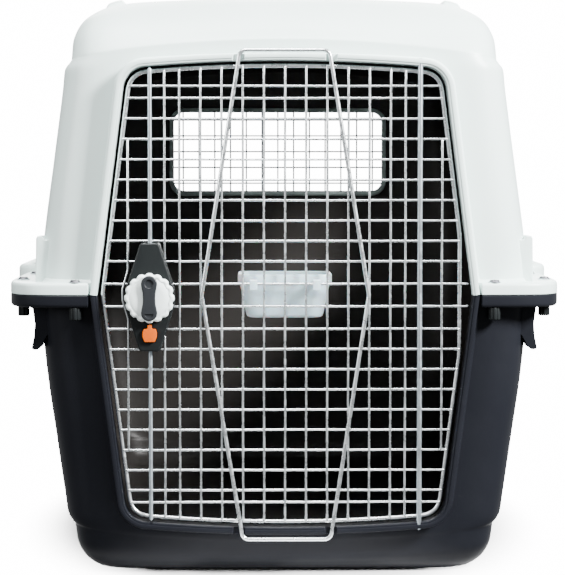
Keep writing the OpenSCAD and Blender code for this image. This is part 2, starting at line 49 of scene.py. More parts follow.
# ---------------------------------------------------------------- shader maths
class Sock:
    """A shader socket that adds its Math node when it is used in an expression."""

    def __init__(self, tree: bpy.types.NodeTree, out: bpy.types.NodeSocket) -> None:
        """Wraps one output socket of a node tree."""
        self.tree = tree
        self.out = out

    def _math(self, operation: str, *values: object, clamp: bool = False) -> "Sock":
        """Adds a Math node that works on the given values or sockets."""
        node = self.tree.nodes.new("ShaderNodeMath")
        node.operation = operation
        node.use_clamp = clamp
        for place, value in zip(node.inputs, values):
            if isinstance(value, Sock):
                self.tree.links.new(value.out, place)
            else:
                place.default_value = value
        return Sock(self.tree, node.outputs[0])

    def __add__(self, other: object) -> "Sock":
        """Sum of two values."""
        return self._math("ADD", self, other)

    __radd__ = __add__

    def __sub__(self, other: object) -> "Sock":
        """This value less the other."""
        return self._math("SUBTRACT", self, other)

    def __rsub__(self, other: object) -> "Sock":
        """The other value less this one."""
        return self._math("SUBTRACT", other, self)

    def __mul__(self, other: object) -> "Sock":
        """Product of two values."""
        return self._math("MULTIPLY", self, other)

    __rmul__ = __mul__

    def smooth(self, low: float, high: float) -> "Sock":
        """0 below low, 1 above high, with an eased step between.

        Args:
            low: the value where the step starts.
            high: the value where it ends.

        Returns:
            The eased step.
        """
        t = self._math("MULTIPLY", self - low, 1.0 / (high - low), clamp=True)
        return t * t * (3.0 - 2.0 * t)

    def clamp(self) -> "Sock":
        """This value held between 0 and 1."""
        return self._math("ADD", self, 0.0, clamp=True)


class Paint:
    """A material in the making: its node tree, its shader and short ways to add nodes."""

    def __init__(self, name: str) -> None:
        """Makes an empty material with a Principled shader."""
        self.material = bpy.data.materials.new(name)
        self.material.use_nodes = True
        self.tree = self.material.node_tree
        self.shader = self.tree.nodes["Principled BSDF"]

    def node(self, kind: str, settings: dict | None = None, inputs: dict | None = None,
             output: int | str = 0) -> Sock:
        """Adds any node.

        Args:
            kind: the node's type name.
            settings: attributes of the node, set before its sockets.
            inputs: values or sockets, by socket name or number.
            output: the output socket to give back.

        Returns:
            The wanted output, wrapped.
        """
        made = self.tree.nodes.new(kind)
        for key, value in (settings or {}).items():
            setattr(made, key, value)
        for key, value in (inputs or {}).items():
            place = made.inputs[key]
            if isinstance(value, Sock):
                self.tree.links.new(value.out, place)
            else:
                place.default_value = value
        return Sock(self.tree, made.outputs[output])

    def place(self, scale: tuple[float, float, float] = (1, 1, 1)) -> Sock:
        """Object coordinates, stretched by scale."""
        where = self.node("ShaderNodeTexCoord", output="Object")
        return self.node("ShaderNodeMapping", {"vector_type": "POINT"},
                         {"Vector": where, "Scale": scale})

    def noise(self, size: float, detail: float = 3.0, rough: float = 0.55,
              scale: tuple[float, float, float] = (1, 1, 1)) -> Sock:
        """Noise whose blobs measure about size metres."""
        return self.node("ShaderNodeTexNoise", {"noise_dimensions": "3D"},
                         {"Vector": self.place(scale), "Scale": 1.0 / size, "Detail": detail,
                          "Roughness": rough})

    def cells(self, size: float, output: str = "Distance") -> Sock:
        """Voronoi cells that measure about size metres."""
        return self.node("ShaderNodeTexVoronoi", {},
                         {"Vector": self.place(), "Scale": 1.0 / size}, output)

    def mix(self, low: object, high: object, share: Sock) -> Sock:
        """Colour between low and high."""
        return self.node("ShaderNodeMix", {"data_type": "RGBA"},
                         {0: share, 6: low, 7: high}, 2)

    def bump(self, height: Sock, depth: float) -> Sock:
        """Normal bent by a height of depth metres."""
        return self.node("ShaderNodeBump", {}, {"Height": height, "Distance": depth,
                                                "Strength": 1.0})

    def set(self, **values: object) -> "Paint":
        """Sets or links the shader's sockets, named with _ for a space."""
        for key, value in values.items():
            place = self.shader.inputs[key.replace("_", " ")]
            if isinstance(value, Sock):
                self.tree.links.new(value.out, place)
            else:
                place.default_value = value
        return self


def rgba(red: float, green: float, blue: float) -> tuple[float, float, float, float]:
    """A linear colour with full cover."""
    return red, green, blue, 1.0


@dataclass(frozen=True)
class MouldedPlastic:
    """Injection moulded plastic: fine spark-eroded grain, faint flow clouds, scuffs.

    Attributes:
        name: material name.
        colour: main colour.
        shade: colour of the clouds.
        roughness: mean roughness.
        grain: size of the grain in metres.
        depth: depth of the grain in metres.
        scuff: how light the scuffs are, from 0 to 1.
        coat: weight of a glossy top coat.
        gloss: strength of the mirror part.
    """

    name: str
    colour: tuple[float, float, float]
    shade: tuple[float, float, float]
    roughness: float = 0.42
    grain: float = 0.0009
    depth: float = 0.00006
    scuff: float = 0.0
    coat: float = 0.0
    gloss: float = 0.4

    def build(self) -> bpy.types.Material:
        """Makes the material."""
        p = Paint(self.name)
        clouds = p.noise(0.11, 4.0).smooth(0.35, 0.7)
        speck = p.noise(0.004, 3.0, 0.7)
        grain = p.cells(self.grain)
        scratches = p.noise(0.05, 8.0, 0.75, (1, 0.3, 3)).smooth(0.63, 0.72) * self.scuff
        base = p.mix(rgba(*self.colour), rgba(*self.shade), clouds * 0.8 + speck * 0.2)
        base = p.mix(base, rgba(*(min(1.0, c + 0.1) for c in self.colour)), scratches)
        rough = self.roughness + (speck - 0.5) * 0.08 + (clouds - 0.5) * 0.05 + scratches * 0.2
        height = grain * 0.7 + speck * 0.6
        p.set(Base_Color=base, Roughness=rough, Normal=p.bump(height, self.depth),
              Coat_Weight=self.coat, Coat_Roughness=0.25, Specular_IOR_Level=self.gloss)
        return p.material


@dataclass(frozen=True)
class SteelWire:
    """Galvanised or zinc plated steel: drawn lines, spangles, and dull spots.

    Attributes:
        name: material name.
        colour: bright metal colour.
        dull: colour of the dull spots.
        roughness: mean roughness.
        spangle: size of the zinc crystals in metres.
        spangles: how much the crystals differ in tone, from 0 to 1.
    """

    name: str
    colour: tuple[float, float, float]
    dull: tuple[float, float, float]
    roughness: float = 0.28
    spangle: float = 0.006
    spangles: float = 0.35

    def build(self) -> bpy.types.Material:
        """Makes the material."""
        p = Paint(self.name)
        patches = p.noise(0.012, 5.0, 0.65).smooth(0.42, 0.66)
        crystals = p.cells(self.spangle, output="Color")
        tone = p.node("ShaderNodeSeparateColor", {}, {0: crystals}, 0)
        fine = p.noise(0.0012, 2.0)
        base = p.mix(rgba(*self.colour), rgba(*self.dull),
                     (patches * 0.45 + tone * self.spangles + fine * 0.15).clamp())
        rough = self.roughness + patches * 0.14 + tone * (0.3 * self.spangles) + fine * 0.05
        p.set(Base_Color=base, Metallic=1.0, Roughness=rough, Normal=p.bump(fine, 0.00005))
        return p.material


@dataclass(frozen=True)
class ClearPlastic:
    """Milky polypropylene of the bowl, with faint flow lines."""

    name: str
    colour: tuple[float, float, float]
    edge: tuple[float, float, float]
    cover: float

    def build(self) -> bpy.types.Material:
        """Makes the material."""
        p = Paint(self.name)
        clouds = p.noise(0.03, 3.0).smooth(0.35, 0.7)
        fine = p.noise(0.0015, 2.0)
        facing = p.node("ShaderNodeLayerWeight", {}, {"Blend": 0.35}, "Facing")
        base = p.mix(rgba(*self.colour), rgba(*self.edge), clouds * 0.6)
        p.set(Base_Color=base, Roughness=0.22 + fine * 0.12,
              Alpha=(self.cover + facing * 0.25).clamp(), Normal=p.bump(fine, 0.00004),
              Subsurface_Weight=0.3, Specular_IOR_Level=0.5)
        return p.material


class Finish(Enum):
    """The finishes of the kennel's pieces."""

    UPPER = "upper_plastic"
    LOWER = "lower_plastic"
    # Inner faces of both shells: one flat dark brown that is painted shade inside the white hood, whose
    # plastic is white through, and painted light inside the black tub, lighter than the tub's own plastic.
    PAINTED_INNER_SHADE_AND_LIGHT = "inner_face_painted_shade_and_light"
    WIRE = "galvanised_wire"
    ROD = "zinc_steel"
    BOLT = "dark_steel"
    BLACK = "black_plastic"
    WHITE = "white_plastic"
    GRIP = "grip_plastic"
    ORANGE = "orange_plastic"
    BOWL = "bowl_plastic"


RECIPES = {
    Finish.UPPER: MouldedPlastic("upper_plastic", (0.62, 0.73, 0.705), (0.585, 0.695, 0.67), 0.36,
                                 scuff=0.15),
    Finish.LOWER: MouldedPlastic("lower_plastic", (0.0068, 0.0074, 0.0098), (0.0085, 0.0092, 0.0120),
                                 0.33, scuff=0.03, gloss=0.09),
    # Painted shade and light for the shells' inner faces: darker than the hood's white plastic, lighter
    # than the tub's black plastic.
    Finish.PAINTED_INNER_SHADE_AND_LIGHT: MouldedPlastic("inner_face_painted_shade_and_light", (0.026, 0.0235, 0.022),
                                  (0.032, 0.0295, 0.0275), 0.4, scuff=0.03, gloss=0.25),
    Finish.WIRE: SteelWire("galvanised_wire", (0.90, 0.94, 0.95), (0.68, 0.72, 0.74), 0.20, 0.006, 0.2),
    Finish.ROD: SteelWire("zinc_steel", (0.62, 0.68, 0.72), (0.34, 0.40, 0.44), 0.26, 0.004, 0.6),
    Finish.BOLT: SteelWire("dark_steel", (0.13, 0.13, 0.14), (0.07, 0.07, 0.08), 0.35),
    Finish.BLACK: MouldedPlastic("black_plastic", (0.0078, 0.0090, 0.0094), (0.0100, 0.0116, 0.0120), 0.32,
                                 grain=0.0006, scuff=0.03, gloss=0.12),
    Finish.WHITE: MouldedPlastic("white_plastic", (0.80, 0.88, 0.862), (0.77, 0.85, 0.835), 0.3,
                                 grain=0.0008, depth=0.00003, coat=0.2),
    Finish.GRIP: MouldedPlastic("grip_plastic", (0.0135, 0.0150, 0.0170), (0.0170, 0.0188, 0.0210), 0.34,
                                grain=0.0005, gloss=0.2),
    Finish.ORANGE: MouldedPlastic("orange_plastic", (0.50, 0.075, 0.001), (0.54, 0.09, 0.002), 0.35,
                                  grain=0.0006, depth=0.00003, gloss=0.15),
    Finish.BOWL: ClearPlastic("bowl_plastic", (0.62, 0.74, 0.79), (0.72, 0.82, 0.86), 0.66),
}


class Finishes:
    """Makes each finish once and hands it out."""

    def __init__(self) -> None:
        """Starts with no finish made."""
        self.made: dict[Finish, bpy.types.Material] = {}

    def __getitem__(self, finish: Finish) -> bpy.types.Material:
        """The material of a finish."""
        if finish not in self.made:
            self.made[finish] = RECIPES[finish].build()
        return self.made[finish]


# ---------------------------------------------------------------- curves and grids
def even(points: np.ndarray, count: int, closed: bool = False) -> np.ndarray:
    """Spaces points evenly along a line.

    Args:
        points: the line, as rows.
        count: how many points to give back.
        closed: whether the line comes back to its start.

    Returns:
        Points at equal steps of the line's length.
    """
    line = np.vstack([points, points[:1]]) if closed else points
    steps = np.linalg.norm(np.diff(line, axis=0), axis=1)
    along = np.concatenate([[0.0], np.cumsum(steps)])
    wanted = np.linspace(0.0, along[-1], count + 1)[:-1] if closed else np.linspace(
        0.0, along[-1], count)
    return np.stack([np.interp(wanted, along, line[:, k]) for k in range(line.shape[1])], axis=1)


def hermite(rows: np.ndarray, count: int) -> np.ndarray:
    """Smooth monotone curve through table rows: cubic pieces whose slopes never overshoot.

    Args:
        rows: the table, one row for each knot.
        count: rows wanted.

    Returns:
        The table at count even steps of its knot number.
    """
    knots = np.arange(len(rows), dtype=float)
    steps = np.diff(rows, axis=0)
    inner = np.where(steps[1:] * steps[:-1] > 0,
                     2 * steps[1:] * steps[:-1] / (steps[1:] + steps[:-1] + 1e-12), 0.0)
    slopes = np.vstack([steps[:1], inner, steps[-1:]])
    at = np.linspace(0, len(rows) - 1, count)
    k = np.clip(at.astype(int), 0, len(rows) - 2)
    t = (at - knots[k])[:, None]
    return ((2 * t**3 - 3 * t**2 + 1) * rows[k] + (t**3 - 2 * t**2 + t) * slopes[k]
            + (3 * t**2 - 2 * t**3) * rows[k + 1] + (t**3 - t**2) * slopes[k + 1])


def normals_2d(line: np.ndarray, closed: bool) -> np.ndarray:
    """Unit normals to the right of a plane line's direction.

    Args:
        line: points as rows of two.
        closed: whether the line comes back to its start.

    Returns:
        One normal for each point.
    """
    if closed:
        ahead = np.roll(line, -1, 0) - np.roll(line, 1, 0)
    else:
        ahead = np.gradient(line, axis=0)
    ahead = ahead / np.maximum(np.linalg.norm(ahead, axis=1, keepdims=True), 1e-12)
    return np.stack([ahead[:, 1], -ahead[:, 0]], axis=1)


def rounded_rectangle(width: float, height: float, radius: float, count: int) -> np.ndarray:
    """A rectangle with round corners, anticlockwise and evenly spaced, about the origin."""
    turn = np.linspace(0, math.pi / 2, 24)
    arcs = [np.stack([sx * (width / 2 - radius) + radius * np.cos(turn + q * math.pi / 2),
                      sy * (height / 2 - radius) + radius * np.sin(turn + q * math.pi / 2)], 1)
            for q, (sx, sy) in enumerate(((1, 1), (-1, 1), (-1, -1), (1, -1)))]
    return even(np.vstack(arcs), count, closed=True)


def round_corners(points: np.ndarray, radius: float, closed: bool, steps: int = 7) -> np.ndarray:
    """Rounds the corners of a bent wire's centre line.

    Args:
        points: corner points in space, as rows.
        radius: bend radius.
        closed: whether the wire is a loop.
        steps: points on each bend.

    Returns:
        The rounded line.
    """
    out: list[np.ndarray] = []
    total = len(points)
    for i, here in enumerate(points):
        if not closed and i in (0, total - 1):
            out.append(here[None])
            continue
        a = points[i - 1] - here
        b = points[(i + 1) % total] - here
        a, b = a / np.linalg.norm(a), b / np.linalg.norm(b)
        half = math.acos(float(np.clip(a @ b, -1, 1))) / 2
        if half > math.radians(89):
            out.append(here[None])
            continue
        cut = radius / math.tan(half)
        centre = here + (a + b) / np.linalg.norm(a + b) * radius / math.sin(half)
        u, v = here + a * cut - centre, here + b * cut - centre
        w = np.linspace(0, 1, steps)[:, None]
        q = u * (1 - w) + v * w
        out.append(centre + radius * q / np.linalg.norm(q, axis=1, keepdims=True))
    return np.vstack(out)


def arc(centre: tuple[float, float], radius: float, start: float, stop: float,
        count: int) -> np.ndarray:
    """Points on a circle's arc, angles in degrees."""
    t = np.radians(np.linspace(start, stop, count))
    return np.stack([centre[0] + radius * np.cos(t), centre[1] + radius * np.sin(t)], axis=1)


class Skin:
    """Collects grids and prisms into one mesh object with several finishes."""

    def __init__(self, name: str, finishes: Finishes, *slots: Finish) -> None:
        """Starts an empty mesh with its finishes."""
        self.name = name
        self.finishes = finishes
        self.slots = slots
        self.points: list[np.ndarray] = []
        self.faces: list[list[int]] = []
        self.marks: list[int] = []
        self.total = 0

    def _add(self, points: np.ndarray, faces: list[list[int]], solid: bool) -> None:
        """Adds one island, turned so that a solid's faces point outwards."""
        if solid and self._volume(points, faces) < 0:
            faces = [f[::-1] for f in faces]
        base = self.total
        self.points.append(points)
        self.faces.extend([[i + base for i in f] for f in faces])
        self.marks.extend([0] * len(faces))
        self.total += len(points)

    @staticmethod
    def _volume(points: np.ndarray, faces: list[list[int]]) -> float:
        """Signed volume: the sum of the tetrahedra from the middle to each face's triangles."""
        centred = points - points.mean(0)
        fans = [(f[0], f[k], f[k + 1]) for f in faces for k in range(1, len(f) - 1)]
        t = centred[np.array(fans)]
        return float(np.einsum("ij,ij->i", t[:, 0], np.cross(t[:, 1], t[:, 2])).sum() / 6)

    def grid(self, points: np.ndarray, around: bool = False, along: bool = False,
             caps: bool = False) -> "Skin":
        """Adds a grid of points as quads.

        Args:
            points: array of rows by columns by 3.
            around: whether the last column joins the first.
            along: whether the last row joins the first.
            caps: whether the first and last rows are filled.

        Returns:
            This object.
        """
        rows, cols = points.shape[:2]
        r = np.arange(rows if along else rows - 1)
        c = np.arange(cols if around else cols - 1)
        i, j = np.meshgrid(r, c, indexing="ij")
        i2, j2 = (i + 1) % rows, (j + 1) % cols
        quads = np.stack([i * cols + j, i * cols + j2, i2 * cols + j2, i2 * cols + j], -1)
        faces = quads.reshape(-1, 4).tolist()
        flat = points.reshape(-1, 3)
        if caps:
            middle = np.stack([points[0].mean(0), points[-1].mean(0)])
            count = len(flat)
            flat = np.vstack([flat, middle])
            last = (rows - 1) * cols
            faces += [[(k + 1) % cols, k, count] for k in range(cols)]
            faces += [[last + k, last + (k + 1) % cols, count + 1] for k in range(cols)]
        self._add(flat, faces, caps or (around and along))
        return self

    def tube(self, line: np.ndarray, radius: float | np.ndarray, closed: bool = False,
             sides: int = 12, round_ends: bool = True) -> "Skin":
        """Adds a round wire: a circle carried along a line without twist.

        Args:
            line: centre line, as rows of three.
            radius: wire radius, the same or one for each point.
            closed: whether the wire is a loop.
            sides: faces round the wire.
            round_ends: whether open ends are domed.

        Returns:
            This object.
        """
        if not closed and round_ends:
            dome = radius * np.array([0.0, 0.35, 0.7, 0.92])
            start = (line[0] - line[1]) / np.linalg.norm(line[0] - line[1])
            stop = (line[-1] - line[-2]) / np.linalg.norm(line[-1] - line[-2])
            inner0 = line[0] - start * dome[3]
            inner1 = line[-1] - stop * dome[3]
            line = np.vstack([[inner0 + start * dome[k] for k in (3, 2, 1, 0)], line[1:-1],
                              [inner1 + stop * dome[k] for k in (0, 1, 2, 3)]])
            fall = [math.sqrt(max(0.0, 1 - (k / 0.92) ** 2)) for k in (0.9, 0.7, 0.35, 0.0)]
            radius = radius * np.array([*fall, *([1.0] * (len(line) - 8)), *fall[::-1]])
        ahead = (np.roll(line, -1, 0) - np.roll(line, 1, 0)) if closed else np.gradient(line, axis=0)
        ahead /= np.linalg.norm(ahead, axis=1, keepdims=True)
        depth = np.broadcast_to(np.array([0.0, 1.0, 0.0]), ahead.shape)
        flat = np.abs(ahead[:, 1:2]) > 0.95
        depth = np.where(flat, np.array([1.0, 0.0, 0.0]), depth)
        u = np.cross(ahead, depth)
        u /= np.linalg.norm(u, axis=1, keepdims=True)
        v = np.cross(u, ahead)
        t = np.linspace(0, 2 * math.pi, sides, endpoint=False)
        r = np.broadcast_to(np.asarray(radius, float), (len(line),))[:, None, None]
        ring = line[:, None] + r * (np.cos(t)[None, :, None] * u[:, None]
                                    + np.sin(t)[None, :, None] * v[:, None])
        return self.grid(ring, around=True, along=closed, caps=not closed)

    def prism(self, outline: np.ndarray, low: float, high: float, bevel: float,
              put: Callable[[np.ndarray], np.ndarray], rounds: int = 4,
              low_bevel: float | None = None) -> "Skin":
        """Adds a plate with round edges: its outline, drawn in near both faces.

        Args:
            outline: closed plane outline, anticlockwise rows of two.
            low: height of the first face.
            high: height of the second face.
            bevel: edge radius at the second face.
            put: turns rows of (across, up, height) into places in the frame.
            rounds: steps of each round edge.
            low_bevel: edge radius at the first face, if it is another one.

        Returns:
            This object.
        """
        out = normals_2d(outline, True)
        first = bevel if low_bevel is None else low_bevel
        t = np.linspace(0, math.pi / 2, rounds + 1)
        levels = [(first * (1 - math.sin(a)), low + first * (1 - math.cos(a))) for a in t]
        levels += [(bevel * (1 - math.cos(a)), high - bevel * (1 - math.sin(a))) for a in t]
        rows = [np.column_stack([outline - out * inset, np.full(len(outline), h)])
                for inset, h in levels]
        grid = np.stack(rows)
        placed = put(grid.reshape(-1, 3)).reshape(grid.shape)
        return self.grid(placed, around=True, caps=True)

    def build(self, body: str, replaces: Iterable[str] = (), sharp: float = 40.0,
              ) -> bpy.types.Object:
        """Makes the object, fixed to a body of the frame.

        Args:
            body: the body it rides on.
            replaces: frame nodes that it stands for.
            sharp: edges bent by more than this many degrees stay sharp.

        Returns:
            The object.
        """
        mesh = bpy.data.meshes.new(self.name)
        mesh.from_pydata(np.vstack(self.points).tolist(), [], self.faces)
        mesh.polygons.foreach_set("material_index", np.array(self.marks, np.int32))
        mesh.polygons.foreach_set("use_smooth", np.ones(len(self.faces), bool))
        for finish in self.slots:
            mesh.materials.append(self.finishes[finish])
        mesh.update()
        mesh.set_sharp_from_angle(angle=math.radians(sharp))
        made = bpy.data.objects.new(self.name, mesh)
        bpy.context.scene.collection.objects.link(made)
        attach(made, body)
        self.slots[0].value
        if replaces:
            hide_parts(*replaces)
        log.info("%s: %d faces on %s", self.name, len(self.faces), body)
        return made


def cut(piece: bpy.types.Object, cutter: Skin) -> None:
    """Takes a cutter's solids out of a piece, for good.

    Args:
        piece: the object that is cut.
        cutter: the solids that are taken away.
    """
    mesh = bpy.data.meshes.new("cutter")
    mesh.from_pydata(np.vstack(cutter.points).tolist(), [], cutter.faces)
    tool = bpy.data.objects.new("cutter", mesh)
    bpy.context.scene.collection.objects.link(tool)
    modifier = piece.modifiers.new("cut", "BOOLEAN")
    modifier.operation = "DIFFERENCE"
    modifier.solver = "EXACT"
    modifier.object = tool
    bpy.context.view_layer.update()
    graph = bpy.context.evaluated_depsgraph_get()
    done = bpy.data.meshes.new_from_object(piece.evaluated_get(graph))
    piece.modifiers.clear()
    old = piece.data
    piece.data = done
    bpy.data.meshes.remove(old)
    bpy.data.objects.remove(tool)
    done.set_sharp_from_angle(angle=math.radians(40))
    log.info("%s: %d faces after the cut", piece.name, len(done.polygons))


# ---------------------------------------------------------------- shapes of the kennel
@dataclass(frozen=True)
class Plan:
    """Driving sizes that the pieces share, in metres.

    Attributes:
        seam: height of the seam between the shells.
        body_y: distance of the shells' middle behind the origin.
        square: exponent of the shells' rounded outline.
        wall: wall thickness.
        open_w: half width of the doorway at the seam.
        open_h: height of the doorway above and below the seam.
        open_r: corner radius of the doorway.
        lean: lean of the doorway's sides, in radians.
        arch_r: radius of the doorway's shallow arch.
        lip_y: front of the door lip.
        lip_w: width of the door lip.
        frame_gap: how far inside the doorway the door frame's centre line lies.
    """

    seam: float
    body_y: float = 13 * MM
    square: float = 14.0
    wall: float = 4 * MM
    open_w: float = 222 * MM
    open_h: float = 276.5 * MM
    open_r: float = 28 * MM
    lean: float = math.atan(0.128)
    arch_r: float = 1921 * MM
    lip_y: float = -434 * MM
    lip_w: float = 8 * MM
    frame_gap: float = 6.5 * MM

    def corner(self) -> tuple[np.ndarray, float]:
        """Centre of the doorway's upper right corner, and the angle where its arch begins."""
        side = np.array([math.cos(self.lean), math.sin(self.lean)])
        way = np.array([-side[1], side[0]])
        foot = np.array([self.open_w, 0.0]) - self.open_r * side
        start = foot - np.array([0.0, self.open_h - self.arch_r])
        b = float(start @ way)
        reach = -b + math.sqrt(b * b - float(start @ start) + (self.arch_r - self.open_r) ** 2)
        centre = foot + reach * way
        return centre, math.atan2(centre[1] - self.open_h + self.arch_r, centre[0])

    def half_opening(self, grow: float, count: int) -> np.ndarray:
        """Upper half of the doorway from right to left: leaning side, round corner, low arch.

        Args:
            grow: how far outside the doorway's edge the line lies.
            count: points wanted.

        Returns:
            Evenly spaced rows of (across, height above the seam).
        """
        centre, end = self.corner()
        start, stop = math.degrees(self.lean), math.degrees(end)
        bend = arc(tuple(centre), self.open_r + grow, start, stop, 40)
        top = arc((0.0, self.open_h - self.arch_r), self.arch_r + grow, stop, 180 - stop, 60)
        foot = np.array([[self.open_w + grow / math.cos(self.lean), 0.0]])
        left = bend[::-1] * np.array([-1.0, 1.0])
        return even(np.vstack([foot, bend, top[1:-1], left, foot * np.array([-1.0, 1.0])]), count)

    def frame_half(self, height: float) -> float:
        """Half width of the door frame's centre line at a height from the seam."""
        line = self.half_opening(-self.frame_gap, 900)
        right = line[:450]
        return float(np.interp(abs(height), right[:, 1], right[:, 0]))

    def frame_top(self, across: float) -> float:
        """Height of the door frame's centre line above the seam at a distance from the middle."""
        line = self.half_opening(-self.frame_gap, 900)[:450]
        line = line[line[:, 1] > 0.2]
        return float(np.interp(-abs(across), -line[:, 0], line[:, 1]))


class Tub:
    """One half shell's form: rounded outlines stacked in height, with a crown in front and back.

    Each knot row is (height at the sides, extra height in the middle, half width, half length).
    """

    def __init__(self, plan: Plan, rows: Sequence[Sequence[float]], way: int) -> None:
        """Keeps the knots, in metres.

        Args:
            plan: the shared sizes.
            rows: the knots, in millimetres, from the seam outwards.
            way: 1 for the upper shell, -1 for the lower one.
        """
        self.plan = plan
        self.way = way
        self.table = hermite(np.array(rows) * MM, 8 * (len(rows) - 1) + 1)
        turn = np.linspace(0, 2 * math.pi, 4001)
        ring = self.ring(turn, *np.median(self.table[:, 2:], axis=0))
        steps = np.linalg.norm(np.diff(ring, axis=0), axis=1)
        self.turn = turn
        self.along = np.concatenate([[0.0], np.cumsum(steps)])

    def ring(self, turn: np.ndarray, a: float, b: float) -> np.ndarray:
        """Rounded outline by its polar radius (|cos/a|^n + |sin/b|^n)^(-1/n)."""
        n = self.plan.square
        c, s = np.cos(turn), np.sin(turn)
        radius = (np.abs(c / a) ** n + np.abs(s / b) ** n) ** (-1 / n)
        return np.stack([radius * c, self.plan.body_y + radius * s], axis=-1)

    def turns(self, count: int) -> np.ndarray:
        """Polar angles that space the outline's points evenly."""
        return np.interp(np.linspace(0, self.along[-1], count, endpoint=False), self.along, self.turn)

    def surface(self, count: int, inset: float = 0.0) -> np.ndarray:
        """The skin's points, ring by ring from the seam.

        Args:
            count: points round each ring.
            inset: how far inside the outer skin.

        Returns:
            Array of rings by count by 3.
        """
        turn = self.turns(count)
        rings = []
        for z, crown, a, b in self.table:
            flat = self.ring(turn, a - inset, b - inset)
            share = np.clip((z - 0.6) / 0.07, 0, 1) if self.way > 0 else np.clip(
                (0.07 - z) / 0.05, 0, 1)
            high = z - self.way * inset * share + crown * (1 - (flat[:, 0] / (a - inset)) ** 2)
            rings.append(np.column_stack([flat, high]))
        return np.stack(rings)

    def half_sizes(self, x: np.ndarray, z: np.ndarray) -> tuple[np.ndarray, np.ndarray]:
        """Half width and half length of the outline that passes height z at x."""
        table = self.table if self.way > 0 else self.table[::-1]
        side = z.copy()
        for _ in range(6):
            crown = np.interp(side, table[:, 0], table[:, 1])
            a = np.interp(side, table[:, 0], table[:, 2])
            side = z - crown * (1 - np.minimum(1, (x / a) ** 2))
        return np.interp(side, table[:, 0], table[:, 2]), np.interp(side, table[:, 0], table[:, 3])

    def front_y(self, x: np.ndarray, z: np.ndarray) -> np.ndarray:
        """Where the front face stands at a place across and a height."""
        a, b = self.half_sizes(x, z)
        share = np.clip(1 - np.abs(x / a) ** self.plan.square, 0.02, 1)
        return self.plan.body_y - b * share ** (1 / self.plan.square)

    def top_z(self, x: np.ndarray, y: np.ndarray) -> np.ndarray:
        """Height of the roof over a place, from the ring that passes it."""
        n = self.plan.square
        z, crown, a, b = (self.table[:, k] for k in range(4))
        reach = (np.abs(x[..., None] / a) ** n + np.abs((y[..., None] - self.plan.body_y) / b) ** n)
        first = np.clip(np.argmax(reach > 1, axis=-1), 1, len(z) - 1)
        low = np.take_along_axis(reach, (first - 1)[..., None], -1)[..., 0]
        high = np.take_along_axis(reach, first[..., None], -1)[..., 0]
        t = np.clip((1 - low) / np.maximum(high - low, 1e-9), 0, 1)
        at = first - 1 + t
        knots = np.arange(len(z))
        lift = np.interp(at, knots, crown) * (1 - np.clip((x / np.interp(at, knots, a)) ** 2, 0, 1))
        return np.interp(at, knots, z) + lift


UPPER_ROWS = ((336, 0, 300, 431), (400, 0, 294, 430), (500, 0, 280.7, 428.4), (581, 0, 270, 427),
              (604, 6, 267.5, 426), (612, 18, 262, 425), (616, 22, 259.5, 424.5),
              (637, 14, 258.5, 412), (653, 11, 254, 399), (665, 10, 247, 384),
              (674, 11, 237, 366), (682, 9, 224, 344), (688, 6, 207, 315), (692.5, 4.5, 180, 275),
              (696, 2, 120, 200), (698, 0.5, 50, 90))
LOWER_ROWS = ((336, 0, 300, 431), (240, 0, 291, 430), (160, 0, 279.8, 428.5), (94, -1, 270.5, 427),
              (68, -8, 266.5, 426), (60, -15, 262, 425), (56, -17, 258.5, 424),
              (34, -13, 255.5, 420), (20, -8, 250.5, 413), (9, -4, 242, 404), (2, -1, 231, 394),
              (0, 0, 220, 383))


def facing_front(points: np.ndarray) -> np.ndarray:
    """Puts rows of (across, up, towards the viewer) into the frame."""
    return np.column_stack([points[:, 0], -points[:, 2], points[:, 1]])


def lying_flat(points: np.ndarray) -> np.ndarray:
    """Puts rows of (across, deep, up) into the frame."""
    return points


def moved(points: np.ndarray, dx: float, dz: float) -> np.ndarray:
    """A plane outline moved across and up."""
    return points + np.array([dx, dz])


